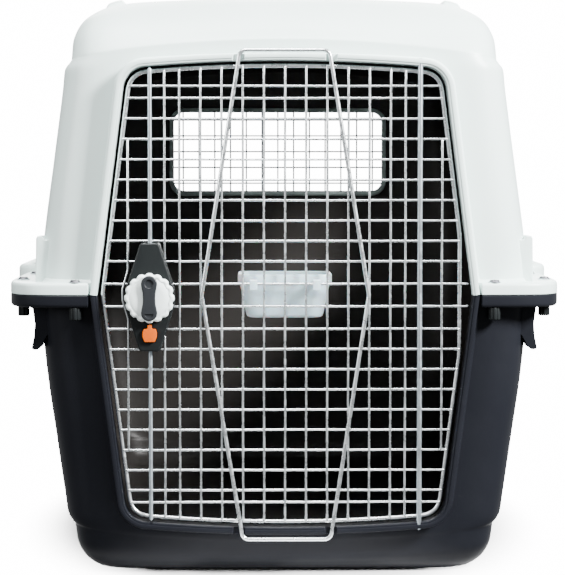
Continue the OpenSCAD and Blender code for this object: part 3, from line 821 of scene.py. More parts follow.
@dataclass
class Shell:
    """What both half shells share: skin, door lip, rod bosses, flange and carry handles."""

    plan: Plan
    finishes: Finishes
    way: int = 1
    rows: Sequence[Sequence[float]] = ()
    node: str = ""
    outside: Finish = Finish.UPPER
    inside: Finish = Finish.PAINTED_INNER_SHADE_AND_LIGHT
    flange_w: float = 333 * MM
    flange_l: float = 447 * MM
    flange_h: float = 14.5 * MM
    rod_x: float = 159 * MM
    rod_y: float = -430.2 * MM
    lock_bore_r: float = 2.6 * MM
    hinge_bore_r: float = 3.2 * MM
    bore_start: float = 255 * MM
    bore_end: float = 283 * MM
    ring_count: int = 240
    tub: Tub = field(init=False)

    def __post_init__(self) -> None:
        """Works out the form."""
        self.tub = Tub(self.plan, self.rows, self.way)

    def skin(self) -> bpy.types.Object:
        """The moulded wall: inner rings from the middle to the seam, then outer rings back."""
        outer = self.tub.surface(self.ring_count)
        inner = self.tub.surface(self.ring_count, self.plan.wall)
        wall = np.concatenate([inner[::-1], outer])
        made = Skin(f"{self.node}_wall", self.finishes, self.outside, self.inside)
        made.grid(wall, around=True, caps=True)
        # Inner faces get the inside finish: painted shade inside the hood, painted light inside the tub.
        inside_faces = (len(inner) - 1) * self.ring_count
        made.marks[:inside_faces] = [1] * inside_faces
        made.marks[-2 * self.ring_count:-self.ring_count] = [1] * self.ring_count
        wall_piece = made.build("shell", [self.node])
        cut(wall_piece, self.holes())
        return wall_piece

    def holes(self) -> Skin:
        """Solids that the wall is cut with: the doorway."""
        tool = Skin("cutter", self.finishes, self.outside)
        line = self.plan.half_opening(0.0003, 140)
        low = np.array([[-self.plan.open_w - 0.0003, -0.03], [self.plan.open_w + 0.0003, -0.03]])
        outline = np.vstack([line, low])
        outline = np.column_stack([outline[:, 0], self.plan.seam + self.way * outline[:, 1]])
        outline = outline if self.way > 0 else outline[::-1]
        tool.prism(outline, 0.36, 0.46, 0.0, facing_front, rounds=1)
        return tool

    def lip(self) -> bpy.types.Object:
        """Raised lip round the doorway: its section runs along the doorway's edge.

        The section goes from the wall's inner edge forward, over a stepped front, and back to
        the wall through a small fillet. Slots let the bail's legs lie in the lip.
        """
        count = 620
        line = self.plan.half_opening(0.0, count)
        out = -normals_2d(line, False)
        out = np.where((out * line).sum(1, keepdims=True) < 0, -out, out)
        front = self.plan.lip_y
        w = self.plan.lip_w
        section = ((0.0035, "in", 0.0045), (0.0006, "in", 0.005), (0.0, "in", 0.0042),
                   (0.0, "at", front + 0.0024), (0.0006, "at", front + 0.0014),
                   (0.0017, "at", front + 0.0011), (0.0026, "at", front + 0.0012),
                   (0.0030, "at", front + 0.0002), (0.0038, "at", front),
                   (w - 0.0016, "at", front), (w - 0.0004, "at", front + 0.0005),
                   (w, "at", front + 0.0018), (w + 0.0004, "in", -0.0042),
                   (w + 0.0012, "in", -0.0018), (w + 0.0032, "in", -0.0003),
                   (w + 0.0040, "in", 0.0012))
        rings = []
        for grow, kind, value in section:
            place = line + out * grow
            x, z = place[:, 0], self.plan.seam + self.way * place[:, 1]
            face = self.tub.front_y(x, z)
            y = face + value if kind == "in" else np.full(count, value)
            if kind == "at":
                notch = np.clip((7.0 - np.abs(np.abs(x) / MM - 55.0)) / 1.1, 0, 1)
                notch = np.where(place[:, 1] > 0.2, notch * notch * (3 - 2 * notch), 0.0)
                y = y + notch * np.maximum(0.0, (front + 0.0062) - y)
            rings.append(np.column_stack([x, y, z]))
        grid = np.stack(rings, axis=1)
        made = Skin(f"{self.node}_door_lip", self.finishes, self.outside)
        made.grid(grid, around=True, caps=True)
        for side in (-1, 1):
            self._boss(made, side)
        piece = made.build("shell", [self.node], sharp=50)
        cut(piece, self._bores())
        return piece

    def _bores(self) -> Skin:
        """Bores through the lip and into the bosses: the lock rod's on the left, the hinge rod's
        on the right.
        """
        tool = Skin("cutter", self.finishes, self.outside)
        low, high = sorted(self.plan.seam + self.way * reach
                           for reach in (self.bore_start, self.bore_end))
        for side, radius in ((-1, self.lock_bore_r), (1, self.hinge_bore_r)):
            ring = arc((side * self.rod_x, self.rod_y), radius, 0, 360, 33)[:-1]
            tool.prism(ring, low, high, 0.0, lying_flat, rounds=1)
        return tool

    def _boss(self, made: Skin, side: int) -> None:
        """Half round boss that holds a rod's end, domed at its far end."""
        r, foot, height = 7 * MM, self.plan.seam + self.way * 0.2765, 12 * MM
        half = arc((0.0, 0.0), r, 180, 360, 21)
        back = np.array([[r, 0.022], [-r, 0.022]])
        section = np.vstack([half, back])
        steps = np.concatenate([np.linspace(0, 0.62, 6), 1 - 0.38 * (1 - np.sin(
            np.linspace(0.15, math.pi / 2, 9)))])
        rows = []
        for share in steps:
            shrink = math.sqrt(max(0.004, 1 - max(0.0, (share - 0.62) / 0.38) ** 2))
            ring = section * np.array([shrink, 1.0])
            ring[:21, 1] = half[:, 1] * shrink
            z = foot + self.way * height * share
            rows.append(np.column_stack([side * self.rod_x + ring[:, 0], self.rod_y + ring[:, 1],
                                         np.full(len(ring), z)]))
        made.grid(np.stack(rows), around=True, caps=True)

    def _flange_line(self, count: int) -> tuple[np.ndarray, np.ndarray]:
        """The flange's outer edge and the wall beside it, from the door's right round to its left."""
        start = self.plan.open_w + self.plan.lip_w + 2.8 * MM
        turn = np.linspace(-math.pi / 2, 1.5 * math.pi, 8001)

        edge = self.tub.ring(turn, self.flange_w, self.flange_l)
        wall = self.tub.ring(turn, *self.tub.table[0, 2:])
        keep = np.ones(len(turn), bool)
        front = edge[:, 1] < 0
        keep[front & (np.abs(edge[:, 0]) < start)] = False
        both = even(np.hstack([edge[keep], wall[keep]]), count)
        return both[:, :2], both[:, 2:]

    def flange(self) -> bpy.types.Object:
        """Flange with a rolled edge: its section is spread between the wall and the outer edge."""
        edge, wall = self._flange_line(520)
        out = normals_2d(edge, False)
        seam, way, h = self.plan.seam, self.way, self.flange_h
        gap = 0.35 * MM
        if way > 0:
            section = (("wall", -0.002, h + 0.0044), ("wall", 0.0004, h + 0.0030),
                       ("wall", 0.0014, h + 0.0010), ("wall", 0.0034, h), ("edge", -0.0046, h),
                       ("edge", -0.0030, h - 0.0001), ("edge", -0.0014, h - 0.0008),
                       ("edge", -0.0004, h - 0.0022), ("edge", 0.0, h - 0.0042),
                       ("edge", 0.0, gap + 0.0007), ("edge", -0.0006, gap),
                       ("edge", -0.003, gap), ("wall", -0.002, gap))
        else:
            section = (("wall", -0.002, gap), ("edge", -0.003, gap), ("edge", -0.0006, gap),
                       ("edge", 0.0, gap + 0.0007), ("edge", 0.0, h - 0.0042),
                       ("edge", -0.0004, h - 0.0020), ("edge", -0.0014, h - 0.0006),
                       ("edge", -0.0026, h), ("edge", -0.0040, h - 0.0006),
                       ("edge", -0.0042, h - 0.0030), ("edge", -0.0042, 0.0052),
                       ("wall", 0.0030, 0.0048), ("wall", 0.0010, 0.0062), ("wall", 0.0002, 0.0085),
                       ("wall", -0.002, 0.0095))
        inward = (wall - edge) / np.linalg.norm(wall - edge, axis=1, keepdims=True)
        rings = []
        for base, move, height in section:
            place = (edge + out * move) if base == "edge" else (wall - inward * move)
            rings.append(np.column_stack([place, np.full(len(edge), seam + way * height)]))
        made = Skin(f"{self.node}_flange", self.finishes, self.outside)
        made.grid(np.stack(rings, axis=1), around=True, caps=True)
        piece = made.build("shell", [self.node.replace("shell", "flange")], sharp=48)
        cut(piece, self._slots())
        return piece

    def _slots(self) -> Skin:
        """Solids of the four finger slots."""
        tool = Skin("cutter", self.finishes, self.outside)
        for side in (-1, 1):
            for row in (-1, 1):
                slot = rounded_rectangle(23 * MM, 133 * MM, 9 * MM, 80)
                tool.prism(moved(slot, side * 320 * MM, row * 75 * MM), self.plan.seam - 0.03,
                           self.plan.seam + 0.03, 0.0, lying_flat, rounds=1)
        return tool

    def handles(self) -> bpy.types.Object:
        """Carry handles: rounded rails that widen the flange round two finger slots each."""
        made = Skin(f"{self.node}_handles", self.finishes, self.outside)
        seam, way = self.plan.seam, self.way
        low = 0.35 * MM
        for side in (-1, 1):
            rail = self._rail(side)
            for outline, width, height in rail:
                r = min(width, 6 * MM)
                t = np.linspace(0, math.pi / 2, 6)
                section = [(-width / 2 + r * (1 - math.cos(a)), height - r * (1 - math.sin(a)))
                           for a in t]
                section += [(width / 2 - r * (1 - math.sin(a)), height - r * (1 - math.cos(a)))
                            for a in t]
                section += [(width / 2, low), (-width / 2, low)]
                out = normals_2d(outline, False)
                rows = [np.column_stack([outline + out * d, np.full(len(outline), seam + way * h)])
                        for d, h in section]
                made.grid(np.stack(rows, axis=1), around=True, caps=True)
        return made.build("shell", [self.node.replace("shell", "handles")], sharp=50)

    def _rail(self, side: int) -> list[tuple[np.ndarray, float, float]]:
        """Centre line, width and height of a handle's grip, its middle bridge and its inner rail."""
        x_out, x_in, half = 338.5 * MM, 322 * MM, 158 * MM
        high = (24.5 if self.way > 0 else 14.5) * MM
        deck = 14.8 * MM
        corner = round_corners(np.array([[x_in - 12 * MM, -half, 0], [x_out, -half, 0],
                                         [x_out, half, 0], [x_in - 12 * MM, half, 0]]),
                               19 * MM, False, 10)[:, :2]
        grip = even(corner, 90) * np.array([side, 1.0])
        lines = [(grip, 15 * MM, high)]
        bridge = np.array([[300 * MM, 0.0], [332 * MM, 0.0]]) * np.array([side, 1.0])
        lines.append((even(bridge, 6), 17.5 * MM, deck))
        inner = np.array([[306.6 * MM, -half + 16 * MM], [306.6 * MM, half - 16 * MM]])
        lines.append((even(inner * np.array([side, 1.0]), 12), 5 * MM, deck))
        return lines


@dataclass
class UpperShell(Shell):
    """The light hood: windows, roof ribs and the notched pillars beside the door."""

    way: int = 1
    rows: Sequence[Sequence[float]] = UPPER_ROWS
    node: str = "upper_shell"
    outside: Finish = Finish.UPPER
    # Inner faces: painted shade, darker than the hood's own white plastic.
    inside: Finish = Finish.PAINTED_INNER_SHADE_AND_LIGHT
    window_z: float = 512 * MM
    window_h: float = 124 * MM
    window_r: float = 16 * MM
    side_w: float = 460 * MM
    rear_w: float = 330 * MM
    rim: float = 7 * MM
    rim_depth: float = 16 * MM
    proud: float = 2.5 * MM
    rib_x: float = 209 * MM

    def window_frames(self) -> list[tuple[float, Callable[[np.ndarray], np.ndarray]]]:
        """Width of each window and what puts (across, up, outwards) rows on its wall."""
        lean = math.atan((294 - 270) / (581 - 400))
        side_x = 294 * MM - (self.window_z - 400 * MM) * math.tan(lean)
        rear_y = self.plan.body_y + 427.5 * MM

        def rear(p: np.ndarray) -> np.ndarray:
            """Places rows on the rear wall."""
            return np.column_stack([-p[:, 0], rear_y + p[:, 2], self.window_z + p[:, 1]])

        def flank(side: int) -> Callable[[np.ndarray], np.ndarray]:
            """Gives what places rows on one side wall."""
            def put(p: np.ndarray) -> np.ndarray:
                """Places rows on the leaning side wall."""
                x = side_x + p[:, 2] * math.cos(lean) - p[:, 1] * math.sin(lean)
                z = self.window_z + p[:, 1] * math.cos(lean) + p[:, 2] * math.sin(lean)
                return np.column_stack([side * x, self.plan.body_y + side * p[:, 0], z])
            return put

        return [(self.rear_w, rear), (self.side_w, flank(-1)), (self.side_w, flank(1))]

    def holes(self) -> Skin:
        """The doorway and the three windows."""
        tool = super().holes()
        for width, put in self.window_frames():
            line = rounded_rectangle(width + 4 * MM, self.window_h + 4 * MM,
                                     self.window_r + 2 * MM, 96)
            tool.prism(line, -0.03, 0.02, 0.0, put, rounds=1)
        return tool

    def rims(self) -> bpy.types.Object:
        """Window rims: a rounded section carried round each window, deep enough for its grille."""
        made = Skin("window_rims", self.finishes, self.outside)
        back = self.proud - self.rim_depth
        for width, put in self.window_frames():
            line = rounded_rectangle(width, self.window_h, self.window_r, 200)
            out = normals_2d(line, True)
            section = ((0.0, back), (0.0, self.proud - 0.0022), (0.0006, self.proud - 0.0007),
                       (0.0019, self.proud), (self.rim - 0.0022, self.proud),
                       (self.rim - 0.0007, self.proud - 0.0006), (self.rim, self.proud - 0.002),
                       (self.rim + 0.0008, -0.0003), (self.rim + 0.0022, -0.0014),
                       (self.rim, -0.003), (self.rim - 0.0005, back + 0.001),
                       (self.rim - 0.0015, back))
            rows = [np.column_stack([line + out * d, np.full(len(line), h)]) for d, h in section]
            grid = np.stack(rows, axis=1)
            made.grid(put(grid.reshape(-1, 3)).reshape(grid.shape), around=True, along=True)
        return made.build("shell", [self.node], sharp=50)

    def ribs(self) -> bpy.types.Object:
        """Roof ribs: a low rounded section that follows the roof and fades at both ends."""
        made = Skin("roof_ribs", self.finishes, self.outside)
        section = np.array([(-12, -2), (-11.4, 0.2), (-10.6, 2.6), (-9.6, 4.8), (-8.2, 6.2),
                            (-6.4, 6.8), (0, 7.0), (6.4, 6.8), (8.2, 6.2), (9.6, 4.8), (10.6, 2.6),
                            (11.4, 0.2), (12, -2)]) * MM
        along = self.plan.body_y + np.linspace(-300, 300, 110) * MM
        fade = np.sqrt(np.clip(1 - np.abs(np.linspace(-1, 1, 110)) ** 40, 0.0, 1))
        for side in (-1, 1):
            x, y = np.meshgrid(side * self.rib_x + section[:, 0], along)
            z = self.tub.top_z(x, y) + np.where(section[None, :, 1] > 0, section[None, :, 1]
                                                * fade[:, None], section[None, :, 1])
            made.grid(np.stack([x, y, np.minimum(z, 699.8 * MM)], -1), around=True, caps=True)
        return made.build("shell", [self.node], sharp=60)

    def pillars(self) -> bpy.types.Object:
        """Hollow notched pillars on the flange, one on each side of the door."""
        made = Skin("side_pillars", self.finishes, self.outside)
        seam = self.plan.seam
        for side in (-1, 1):
            notch = arc((-2.5 * MM, 68.6 * MM), 4.4 * MM, 350, 190, 12)
            pts = np.vstack([[[-11 * MM, 12 * MM], [11 * MM, 12 * MM], [10.1 * MM, 66 * MM],
                              [8.6 * MM, 68.8 * MM], [3.6 * MM, 69 * MM]], notch,
                             [[-8.6 * MM, 68.8 * MM], [-10 * MM, 67 * MM]]])
            line = even(pts, 120, closed=True) * np.array([side, 1.0])
            line = line if side > 0 else line[::-1]
            made.prism(moved(line, side * 287 * MM, seam), 363 * MM, 393.8 * MM, 1.5 * MM,
                       facing_front)
        return made.build("shell", ["upper_flange"], sharp=45)

    def make(self) -> None:
        """Builds every piece of the upper shell."""
        self.skin()
        self.lip()
        self.flange()
        self.handles()
        self.rims()
        self.ribs()
        self.pillars()


@dataclass
class LowerShell(Shell):
    """The dark tub with the bracket fins under its flange."""

    way: int = -1
    rows: Sequence[Sequence[float]] = LOWER_ROWS
    node: str = "lower_shell"
    outside: Finish = Finish.LOWER
    # Inner faces: painted light, lighter than the tub's own black plastic.
    inside: Finish = Finish.PAINTED_INNER_SHADE_AND_LIGHT

    def fins(self) -> bpy.types.Object:
        """Bracket fins below the flange: flared at the tip, with a curved notch inside."""
        made = Skin("side_fins", self.finishes, self.outside)
        seam = self.plan.seam
        for side in (-1, 1):
            pts = np.array([[275, -13], [275, -50], [282, -47], [286, -49], [289.5, -55],
                            [293.5, -63.5], [297, -66], [301.5, -65.5], [298.6, -52],
                            [297.4, -36], [300.5, -13]]) * MM
            line = even(pts[::-1], 110, closed=True) * np.array([side, 1.0])
            line = line if side > 0 else line[::-1]
            made.prism(moved(line, 0.0, seam), 363 * MM, 393.8 * MM, 1.6 * MM, facing_front)
        return made.build("shell", ["lower_flange"], sharp=45)

    def make(self) -> None:
        """Builds every piece of the lower shell."""
        self.skin()
        self.lip()
        self.flange()
        self.handles()
        self.fins()


# ---------------------------------------------------------------- door and latch
@dataclass
class Door:
    """Wire door: bent frame, crossed mesh, bail and the hinge rod."""

    plan: Plan
    finishes: Finishes
    frame_y: float = -424 * MM
    frame_r: float = 2.5 * MM
    hinge_side_x: float = 206.5 * MM
    across_y: float = -425.9 * MM
    upright_y: float = -427.7 * MM
    mesh_r: float = 1.4 * MM
    pitch: float = 24.9 * MM
    side_column: float = 185.2 * MM
    side_reach: float = 183.4 * MM
    stop_x: float = 217 * MM
    bail_y: float = -431.3 * MM
    bail_r: float = 2.4 * MM
    rod_x: float = 159 * MM
    rod_y: float = -430.2 * MM
    hinge_r: float = 3 * MM
    hinge_reach: float = 279 * MM
    latch_z: float = 334 * MM

    def frame_wire(self) -> None:
        """The bent rectangle that holds the mesh, with its butt weld at the bottom."""
        top = self.plan.half_opening(-self.plan.frame_gap, 420)
        loop = np.vstack([top, (top * np.array([1.0, -1.0]))[::-1][1:-1]])
        loop[:, 0] = np.minimum(loop[:, 0], self.hinge_side_x)
        loop = even(loop, 760, closed=True)
        loop = sum(np.roll(loop, k, 0) for k in range(-3, 4)) / 7
        line = np.column_stack([loop[:, 0], np.full(len(loop), self.frame_y),
                                self.plan.seam + loop[:, 1]])
        made = Skin("door_frame", self.finishes, Finish.WIRE)
        made.tube(line, self.frame_r, closed=True, sides=18)
        weld = line[555:562]
        swell = self.frame_r * np.array([0.6, 1.06, 1.16, 1.18, 1.16, 1.06, 0.6])
        made.tube(weld, swell, sides=18, round_ends=False)
        made.build("door", ["door_frame_wire"], sharp=60)

    def _hidden(self, offset: float, vertical: bool) -> tuple[float, float] | None:
        """Stretch of a wire that lies behind the latch, from the latch's middle."""
        pts = np.array(LATCH_OUTLINE) * MM
        along, side = (1, 0) if vertical else (0, 1)
        hits = []
        for a, b in zip(pts, np.roll(pts, -1, 0)):
            if (a[side] - offset) * (b[side] - offset) < 0:
                t = (offset - a[side]) / (b[side] - a[side])
                hits.append(float(a[along] + t * (b[along] - a[along])))
        return (min(hits) + 1.2 * MM, max(hits) - 1.2 * MM) if hits else None

    def mesh(self) -> None:
        """Uprights and cross wires, cut where they run into the latch, welded at crossings."""
        up = Skin("door_uprights", self.finishes, Finish.WIRE)
        columns = [i * self.pitch for i in range(-5, 6)] + [-142 * MM, 142 * MM]
        for x in columns:
            top = self.plan.frame_top(x) + 0.6 * MM
            self._wire(up, x, -top, top, True)
        reach = self.side_reach
        bow = np.array([[0, reach], [0, 0.030], [-0.0065, 0.008], [-0.0065, -0.006], [0, -0.028],
                        [0, -reach]])
        line = np.column_stack([bow[:, 0] - self.side_column, np.full(6, self.upright_y),
                                self.plan.seam + bow[:, 1]])
        up.tube(round_corners(line, 12 * MM, False), self.mesh_r)
        self._wire(up, self.side_column, -reach, reach, True)
        up.build("door", ["door_mesh_vertical"], sharp=60)

        over = Skin("door_cross_wires", self.finishes, Finish.WIRE)
        above = [13.3, 40.0, *(64 + 24 * k for k in range(8)), 246.3]
        heights = [side * h * MM for h in above for side in (-1, 1)]
        for h in heights:
            left = -self.plan.frame_half(h) - 0.4 * MM
            right = self.stop_x if abs(h) < 0.02 else min(self.hinge_side_x,
                                                          self.plan.frame_half(h) + 0.4 * MM)
            self._wire(over, h, left, right, False)
        self._welds(over, columns, heights)
        over.build("door", ["door_mesh_horizontal"], sharp=60)

    def _wire(self, skin: Skin, place: float, low: float, high: float, vertical: bool) -> None:
        """One straight wire in one or two lengths, with a hair of waviness from drawing."""
        middle = self.latch_z - self.plan.seam if vertical else -self.rod_x
        offset = place + self.rod_x if vertical else place + self.plan.seam - self.latch_z
        gap = self._hidden(offset, vertical)
        spans = [(low, high)] if gap is None else [(low, middle + gap[0]), (middle + gap[1], high)]
        for a, b in spans:
            along = np.linspace(a, b, max(6, int((b - a) / 0.02)))
            wave = 0.00012 * np.sin(along * 31.0 + place * 700.0)
            if vertical:
                line = np.column_stack([place + wave, np.full(len(along), self.upright_y),
                                        self.plan.seam + along])
            else:
                line = np.column_stack([along, np.full(len(along), self.across_y),
                                        self.plan.seam + place + wave])
            skin.tube(line, self.mesh_r, sides=12)

    def _welds(self, skin: Skin, columns: Sequence[float], rows: Sequence[float]) -> None:
        """Flattened beads where the wires are resistance welded to each other."""
        turn = np.linspace(0, 2 * math.pi, 10, endpoint=False)
        span = np.array([0.25, 0.8, 1.0, 0.8, 0.25])
        depth = np.array([-1.0, -0.55, 0.0, 0.55, 1.0]) * 1.5 * MM
        y = (self.across_y + self.upright_y) / 2
        for x in columns:
            for h in rows:
                if self._in_latch(x, h) or abs(h) > self.plan.frame_top(x):
                    continue
                rows_3d = [np.column_stack([x + 1.75 * MM * s * np.cos(turn), np.full(10, y + d),
                                            self.plan.seam + h + 1.75 * MM * s * np.sin(turn)])
                           for s, d in zip(span, depth)]
                skin.grid(np.stack(rows_3d), around=True, caps=True)

    def _in_latch(self, x: float, h: float) -> bool:
        """Whether a crossing lies inside the latch's outline."""
        gap = self._hidden(x + self.rod_x, True)
        rel = h + self.plan.seam - self.latch_z
        return gap is not None and gap[0] - 3 * MM < rel < gap[1] + 3 * MM

    def bail(self) -> None:
        """The bent wire on the front of the mesh, whose ends lie in the lip's slots."""
        corners = np.array(BAIL) * MM
        line = np.column_stack([corners[:, 0], np.full(len(corners), self.bail_y),
                                self.plan.seam + corners[:, 1]])
        line = even(round_corners(line, 8 * MM, True, 12), 420, closed=True)
        made = Skin("door_bail_wire", self.finishes, Finish.WIRE)
        made.tube(line, self.bail_r, closed=True, sides=16)
        made.build("door", ["door_bail"], sharp=60)

    def rods(self) -> None:
        """The hinge rod and the two lock rods, each with a rounded tip."""
        for name, body, node, x, r, low, high in (
                ("hinge_rod_wire", "door", "hinge_rod", self.rod_x, self.hinge_r,
                 self.plan.seam - self.hinge_reach, self.plan.seam + self.hinge_reach),
                ("upper_lock_rod", "upper_rod", "lock_rod_upper", -self.rod_x, 2.4 * MM,
                 self.latch_z + 36 * MM, 603.5 * MM),
                ("lower_lock_rod", "lower_rod", "lock_rod_lower", -self.rod_x, 2.4 * MM,
                 68.5 * MM, self.latch_z - 36 * MM)):
            along = np.linspace(low, high, 40)
            line = np.column_stack([np.full(40, x), np.full(40, self.rod_y), along])
            made = Skin(name, self.finishes, Finish.ROD)
            made.tube(line, r, sides=20)
            made.build(body, [node], sharp=60)

    def make(self) -> None:
        """Builds every wire of the door."""
        self.frame_wire()
        self.mesh()
        self.bail()
        self.rods()


LATCH_OUTLINE = ((-11, 64), (-29, 9), (-29, -9), (-12, -63), (12, -63), (29, -9), (29, 9), (11, 64))
BAIL = ((-53, 288), (52, 288), (99, 0), (54, -290), (-50, -290), (-98.5, 0))
BUTTON_OUTLINE = ((-6, -9), (6, -9), (8.4, -3), (8.4, 2), (7, 6), (2.5, 6.6), (2.5, 11.1),
                  (-2.5, 11.1), (-2.5, 6.6), (-7, 6), (-8.4, 2), (-8.4, -3))


def rounded(outline: Sequence[tuple[float, float]], radius: float, count: int,
            scale: float = 1.0) -> np.ndarray:
    """A plane outline in millimetres, scaled, with round corners and even points, in metres."""
    pts = np.array(outline) * scale * MM
    line = round_corners(np.column_stack([pts, np.zeros(len(pts))]), radius, True, 9)[:, :2]
    line = even(line, count, closed=True)
    area = float((line[:, 0] * np.roll(line[:, 1], -1) - np.roll(line[:, 0], -1) * line[:, 1]).sum())
    return line if area > 0 else line[::-1]


@dataclass
class Latch:
    """Latch: black housing, white knob with a grey grip, and the orange safety button."""

    finishes: Finishes
    x: float = -159 * MM
    z: float = 334 * MM
    front: float = 446 * MM
    back: float = 419.5 * MM
    knob_r: float = 29.3 * MM
    knob_back: float = 446.6 * MM
    knob_front: float = 455 * MM
    grip_front: float = 460 * MM
    button_z: float = -42.5 * MM

    def housing(self) -> None:
        """Housing: a shallow box with rolled edges, clamp ribs and a pocket for the button."""
        made = Skin("latch_case", self.finishes, Finish.BLACK)
        outline = moved(rounded(LATCH_OUTLINE, 3.5 * MM, 220), self.x, self.z)
        made.prism(outline, self.back + 0.2 * MM, self.front, 2.2 * MM, facing_front,
                   rounds=6, low_bevel=0.3 * MM)
        for low, half in ((46.0, 13.2), (52.0, 11.6)):
            rib = rounded([(-half, low), (half, low), (half, low + 2.6), (-half, low + 2.6)],
                          1.0 * MM, 60)
            made.prism(moved(rib, self.x, self.z), self.front - 1 * MM, self.front + 1.1 * MM,
                       0.8 * MM, facing_front, rounds=3)
        case = made.build("door", ["latch_housing"], sharp=45)
        tool = Skin("cutter", self.finishes, Finish.BLACK)
        ring = arc((self.x, self.z), 28 * MM, 0, 360, 97)[:-1]
        tool.prism(ring, self.front - 0.8 * MM, self.front + 2 * MM, 0.0, facing_front, rounds=1)
        pocket = rounded(BUTTON_OUTLINE, 0.9 * MM, 90, 1.08)
        tool.prism(moved(pocket, self.x, self.z + self.button_z), self.front - 8.6 * MM,
                   self.front + 2 * MM, 0.0, facing_front, rounds=1)
        cut(case, tool)

    def knob(self) -> None:
        """Scalloped knob with rolled edges and a shallow raised ring round the grip."""
        made = Skin("latch_knob_disc", self.finishes, Finish.WHITE)
        t = np.linspace(0, 2 * math.pi, 384, endpoint=False)
        wave = 0.5 + 0.5 * np.cos(16 * t)
        r = self.knob_r - 1.9 * MM * (1 - wave) ** 2.2
        outline = np.stack([self.x + r * np.cos(t), self.z + r * np.sin(t)], 1)
        out = normals_2d(outline, True)
        low, high = self.knob_back, self.knob_front
        profile = [(0.9, low), (0.25, low + 0.25 * MM), (0.0, low + 0.9 * MM),
                   (0.0, high - 3.0 * MM), (0.25, high - 1.8 * MM), (0.9, high - 0.8 * MM),
                   (1.9, high - 0.25 * MM), (3.0, high - 0.06 * MM)]
        rows = [np.column_stack([outline - out * d * MM, np.full(len(t), h)]) for d, h in profile]
        middle = np.array([self.x, self.z])
        edge = outline - out * 3.0 * MM
        for share, h in ((0.97, 0.0), (0.955, -0.35), (0.94, -0.45), (0.90, -0.45), (0.875, -0.3),
                         (0.86, 0.0), (0.6, 0.0), (0.3, 0.0)):
            round_edge = middle + np.stack([np.cos(t), np.sin(t)], 1) * 26.0 * MM
            base = edge if share > 0.96 else round_edge
            rows.append(np.column_stack([middle + (base - middle) * share,
                                         np.full(len(t), high - 0.05 * MM + h * MM)]))
        grid = np.stack(rows)
        placed = facing_front(grid.reshape(-1, 3)).reshape(grid.shape)
        made.grid(placed, around=True, caps=True)
        hub = arc((self.x, self.z), 9 * MM, 0, 360, 49)[:-1]
        made.prism(hub, self.front - 1.5 * MM, self.knob_back + 0.4 * MM, 0.0, facing_front, rounds=1)
        made.build("knob", ["latch_knob"], sharp=50)

    def grip(self) -> None:
        """Waisted thumb grip with a round dimple at the top and a half moon at the bottom."""
        made = Skin("knob_thumb_grip", self.finishes, Finish.GRIP)
        right = np.vstack([arc((0, -17 * MM), 9.5 * MM, -90, 16, 22),
                           [[7.5 * MM, -6 * MM], [7.2 * MM, 0.0], [7.5 * MM, 6 * MM]],
                           arc((0, 17 * MM), 9.5 * MM, -16, 90, 22)])
        outline = even(np.vstack([right, right[::-1] * np.array([-1.0, 1.0])]), 200, closed=True)
        made.prism(moved(outline, self.x, self.z), self.knob_front - 0.4 * MM, self.grip_front,
                   1.7 * MM, facing_front, rounds=6, low_bevel=0.0)
        piece = made.build("knob", ["knob_grip"], sharp=45)
        tool = Skin("cutter", self.finishes, Finish.GRIP)
        dimple = arc((0, 17 * MM), 5.4 * MM, 0, 360, 49)[:-1]
        tool.prism(moved(dimple, self.x, self.z), self.grip_front - 1.5 * MM,
                   self.grip_front + 2 * MM, 0.0, facing_front, rounds=4, low_bevel=1.2 * MM)
        moon = np.vstack([arc((0, -18 * MM), 5.2 * MM, 180, 360, 30)])
        moon = even(moon, 60, closed=True)
        tool.prism(moved(moon, self.x, self.z), self.grip_front - 1.2 * MM,
                   self.grip_front + 2 * MM, 0.0, facing_front, rounds=2, low_bevel=0.4 * MM)
        cut(piece, tool)

    def button(self) -> None:
        """Safety button: a shield with a neck, its front edge rolled."""
        made = Skin("latch_button", self.finishes, Finish.ORANGE)
        outline = moved(rounded(BUTTON_OUTLINE, 0.9 * MM, 150), self.x, self.z + self.button_z)
        made.prism(outline, self.front - 4.8 * MM, 450.2 * MM, 0.5 * MM, facing_front, rounds=4,
                   low_bevel=0.2 * MM)
        made.build("button", ["safety_button"], sharp=45)

    def make(self) -> None:
        """Builds the latch's visible pieces."""
        self.housing()
        self.knob()
        self.grip()
        self.button()


